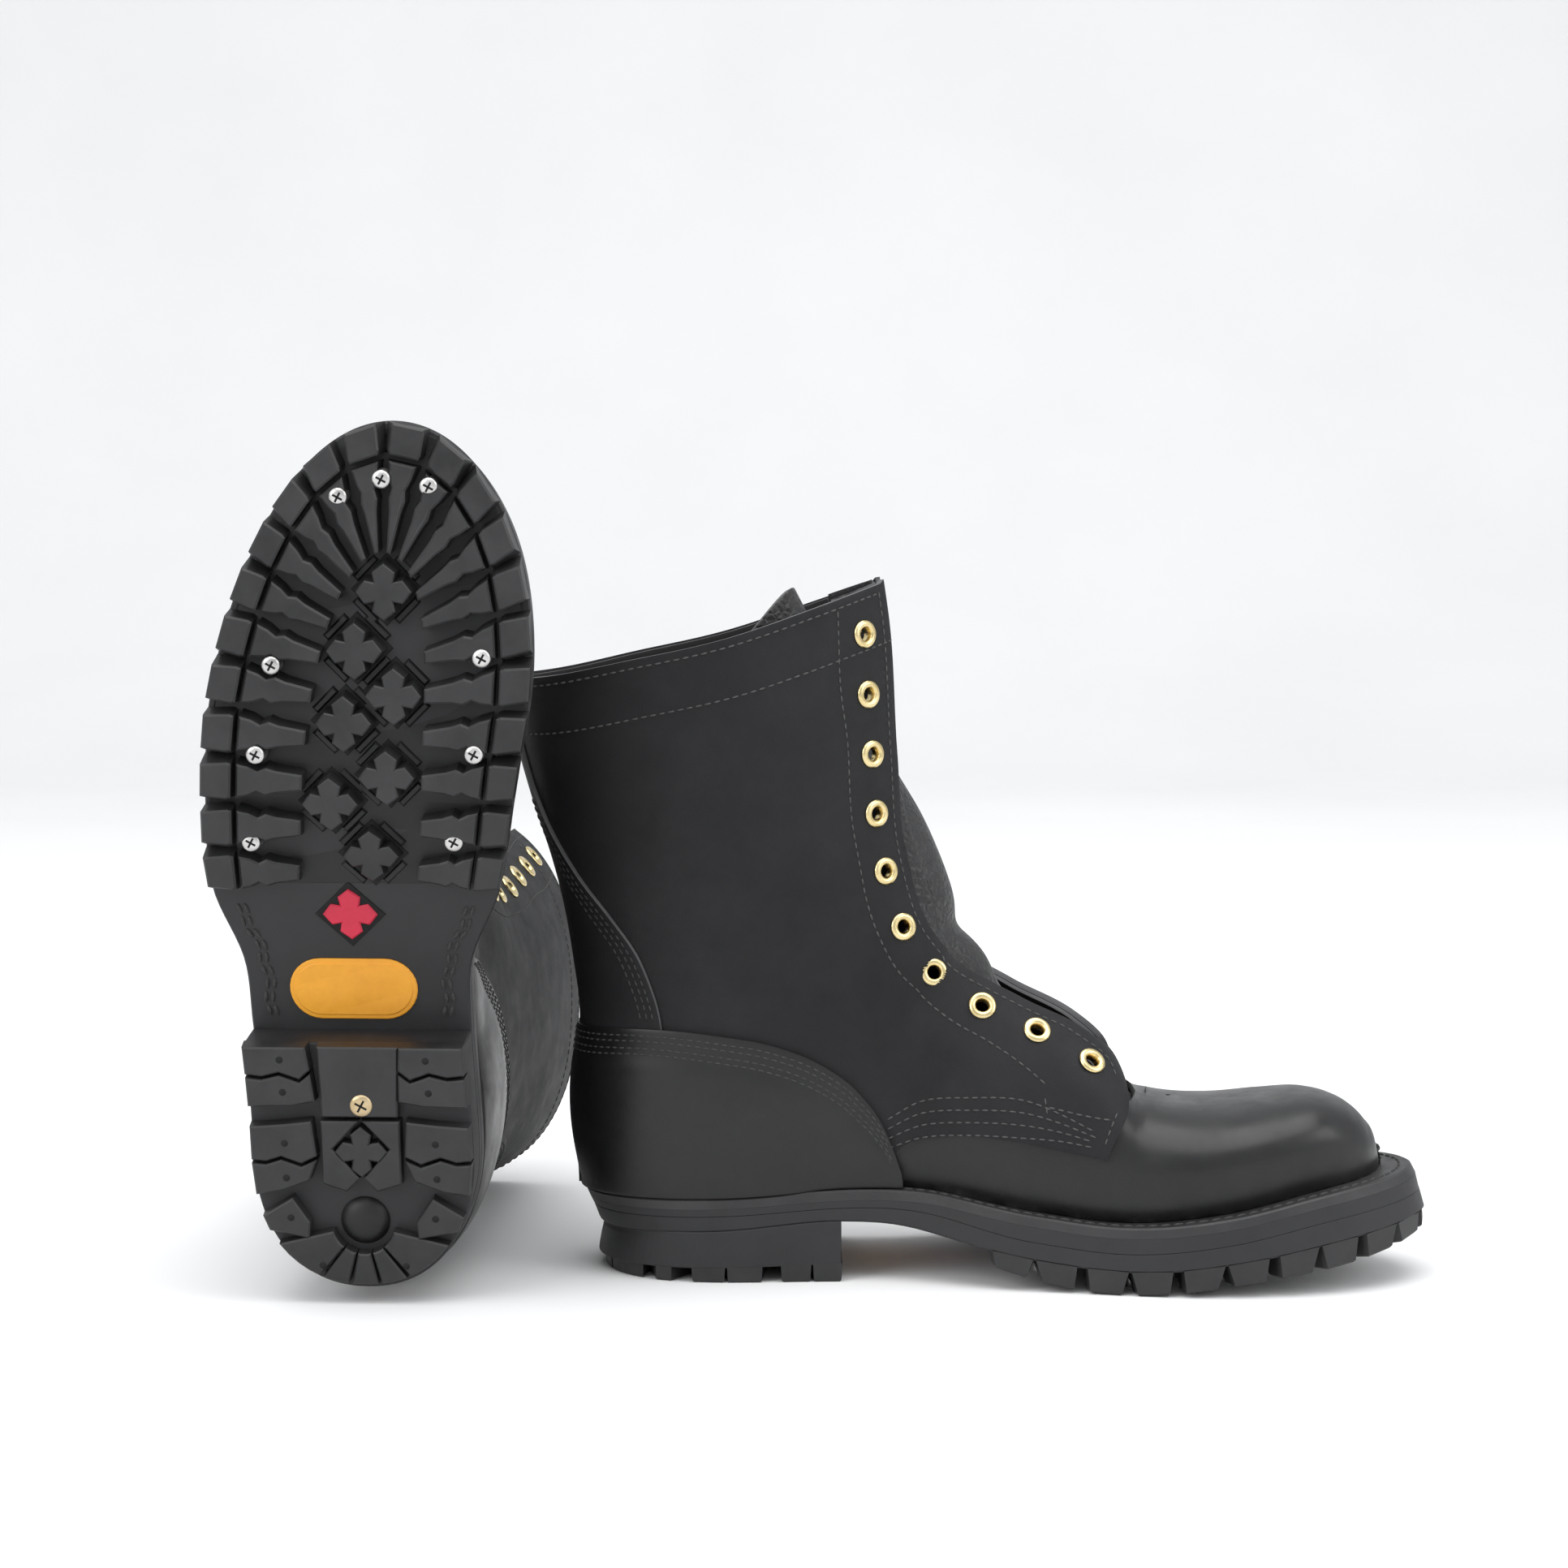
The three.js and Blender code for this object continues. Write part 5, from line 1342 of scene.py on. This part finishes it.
# ---------------------------------------------------------------------------------------------------------
# Placing the boots on the CAD
def find_boots():
    """Each boot's frame, worked out from where its heel screw is in the CAD."""
    low, high = (1000 * np.array(corner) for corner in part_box("left_heel_screw"))
    screw = np.array([along(HEEL_SCREW[0]), HEEL_SCREW[1], 0.8])
    middle = (low + high) / 2
    left_shift = np.array([middle[0] - screw[0], middle[1] + screw[1], low[2] - screw[2]])
    laid = np.array([
        [0, 1, 0],
        [-math.sin(LEAN), 0, math.cos(LEAN)],
        [math.cos(LEAN), 0, math.sin(LEAN)],
    ])
    spin = np.array([
        [math.cos(YAW), math.sin(YAW), 0],
        [-math.sin(YAW), math.cos(YAW), 0],
        [0, 0, 1],
    ])
    # The lowest corner of the lying boot's heel screw, whose head has eight sides
    head_edge = 4.5 * math.cos(math.pi / 8)
    lowest = (screw[0] - head_edge) * math.cos(LEAN) + screw[2] * math.sin(LEAN)
    lift = 1000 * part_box("right_heel_screw")[0][2] - lowest
    right_shift = np.array([left_shift[0] - HEEL_SPACING, left_shift[1] - LYING_FORWARD, lift])
    return Boot("left", np.eye(3), left_shift, True), Boot("right", spin @ laid, right_shift, False)


# The CAD nodes that each piece stands for, the material slot of each piece, and the looks of the CAD nodes
# that stay
REPLACED = {
    "welt_strip": ["welt"],
    "midsole_layer": ["midsole"],
    "outsole_base": ["outsole"],
    "heel_core": ["heel_block"],
    "badge_inlay": ["sole_badge"],
    "sole_screws": [f"sole_screw_{number + 1}" for number in range(9)],
    "heel_screw_head": ["heel_screw"],
    "vamp_leather": ["vamp"],
    "quarter_leather_inner": ["quarter_inner"],
    "quarter_leather_outer": ["quarter_outer"],
    "eyelet_facing_inner": ["eyelet_stay_inner"],
    "eyelet_facing_outer": ["eyelet_stay_outer"],
    "eyelet_row_inner": ["eyelets_inner"],
    "eyelet_row_outer": ["eyelets_outer"],
    "heel_cover": ["counter_cover"],
    "backstay_leather": ["backstay"],
    "collar_lining": ["collar_band"],
    "tongue_leather": ["tongue"],
}
SLOTS = {
    "smooth_leather": "vamp_leather heel_cover",
    "shaft_leather": "quarter_leather_inner quarter_leather_outer eyelet_facing_inner eyelet_facing_outer "
                     "backstay_leather collar_lining",
    "soft_leather": "tongue_leather gusset_inner gusset_outer",
    "edge_leather": "welt_strip midsole_layer upper_stitches heel_stitches welt_stitches channel_stitches",
    "black_rubber": "outsole_base rim_lugs plus_lugs red_lug plus_recesses groove_floor field_ridges "
                    "heel_core heel_blocks heel_dome nail_holes sole_screws_slots heel_screw_head_slots",
    "brass": "eyelet_row_inner eyelet_row_outer heel_screw_head",
    "steel": "sole_screws",
    "amber_inlay": "badge_inlay",
}
CARRIED = {"insole": natural_leather, "shank": screw_steel, "toe_puff": natural_leather,
           "heel_counter": natural_leather}


# A height on the gussets, and how far out of the middle they meet the facings there
GUSSET_X = 140.0
GUSSET_Z = 150.0
GUSSET_OUT = 24.0


def build_boot(boot):
    welt_layer(boot)
    midsole_layer(boot)
    outsole_base(boot)
    tread(boot)
    heel(boot)
    screws(boot)
    badge(boot)
    sole_stitching(boot)
    vamp(boot)
    quarters(boot)
    linings(boot)
    counter(boot)
    back_strip(boot)
    eyelets(boot)
    tongue(boot)
    upper_stitching(boot)
    body = f"{boot.name}_boot"
    tongue_body = f"{boot.name}_tongue"
    for side, word in SIDES:
        piece = gusset(boot, side, word)
        middle = np.array([GUSSET_X, centre_line(GUSSET_X), GUSSET_Z])
        facing = boot.world(middle + np.array([0, side * GUSSET_OUT, 0]))
        edge = boot.world(middle + np.array([0, side * (TONGUE_HALF - 0.5), 0]))
        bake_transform(piece)
    for slot, names in SLOTS.items():
        for name in names.split():
            piece = bpy.data.objects[f"{boot.name}_{name}"]
            if name.startswith("gusset"):
                continue
            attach(piece, tongue_body if name == "tongue_leather" else body)
    for name, nodes in REPLACED.items():
        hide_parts(*[f"{boot.name}_{node}" for node in nodes])
    for node, material in CARRIED.items():
        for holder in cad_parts[f"{boot.name}_{node}"].material_slots:
            holder.material = material


boots = find_boots()
for each in boots:
    build_boot(each)


# ---------------------------------------------------------------------------------------------------------
# Floor, light and camera
FLOOR_HALF = 14
FLOOR_NEAR = -16
BACKDROP_START = 2.2
BACKDROP_RADIUS = 1.2
BACKDROP_HEIGHT = 5
SKY = (0.96, 0.98, 1.0, 1)
SKY_STRENGTH = 0.88
# Area lights: name, watts, size, place, and the point each one is turned to
LIGHTS = (
    ("top_light", 50, 2.4, (0.1, -0.3, 2.3), (0, 0, 0)),
    ("left_light", 29, 1.6, (-1.9, -1.5, 1.3), (0, 0, 0.1)),
    ("right_light", 17, 1.4, (2.0, -0.9, 1.2), (0, 0, 0.1)),
)
SENSOR = 36
LENS = 76.4
CAMERA_TIP = math.radians(4.64)
# Where the camera is from the standing boot's own origin, and how high
CAMERA_ASIDE = 0.0753
CAMERA_BACK = 1.25
CAMERA_HEIGHT = 0.283


def backdrop():
    """A pale floor that runs up into a backdrop."""
    bend = np.linspace(0.1, np.pi / 2, 14)
    top = BACKDROP_START + BACKDROP_RADIUS
    run = np.concatenate([
        np.linspace(FLOOR_NEAR, BACKDROP_START, 30),
        BACKDROP_START + BACKDROP_RADIUS * np.sin(bend),
        np.full(6, top)])
    rise = np.concatenate([
        np.zeros(30),
        BACKDROP_RADIUS * (1 - np.cos(bend)),
        np.linspace(1.6, BACKDROP_HEIGHT, 6)])
    x = np.linspace(-FLOOR_HALF, FLOOR_HALF, 12)[None, :]
    points = np.stack(np.broadcast_arrays(x, run[:, None], rise[:, None]), -1)
    paper = Surface("studio_paper")
    paper.colour(paper.noise(3), (0.765, 0.765, 0.767), (0.795, 0.795, 0.797))
    paper.fix("Roughness", 0.9)
    floor = add_mesh("studio_floor", points.reshape(-1, 3), grid_faces(len(run), 12), [paper.material])


def lights():
    """Soft area lights and an even sky."""
    world = bpy.data.worlds.new("studio_sky")
    world.use_nodes = True
    sky = world.node_tree.nodes["Background"]
    sky.inputs["Color"].default_value = SKY
    sky.inputs["Strength"].default_value = SKY_STRENGTH
    bpy.context.scene.world = world
    bpy.context.scene.view_settings.view_transform = "Standard"
    for name, power, size, spot, aim in LIGHTS:
        light = bpy.data.lights.new(name, "AREA")
        light.energy = power
        light.size = size
        lamp = bpy.data.objects.new(name, light)
        lamp.location = spot
        way = np.array(aim) - np.array(spot)
        tip = math.atan2(math.hypot(way[0], way[1]), -way[2])
        lamp.rotation_euler = (tip, 0, math.atan2(way[1], way[0]) - math.pi / 2)
        bpy.context.collection.objects.link(lamp)


def camera():
    """A camera in front of the standing boot, a little higher than it, tipped down."""
    data = bpy.data.cameras.new("camera")
    data.sensor_width = SENSOR
    data.lens = LENS
    data.clip_end = 50
    view = bpy.data.objects.new("camera", data)
    place = boots[0].shift / 1000
    view.location = (place[0] + CAMERA_ASIDE, place[1] - CAMERA_BACK, CAMERA_HEIGHT)
    view.rotation_euler = (math.pi / 2 - CAMERA_TIP, 0, 0)
    bpy.context.collection.objects.link(view)
    bpy.context.scene.camera = view


backdrop()
lights()
camera()
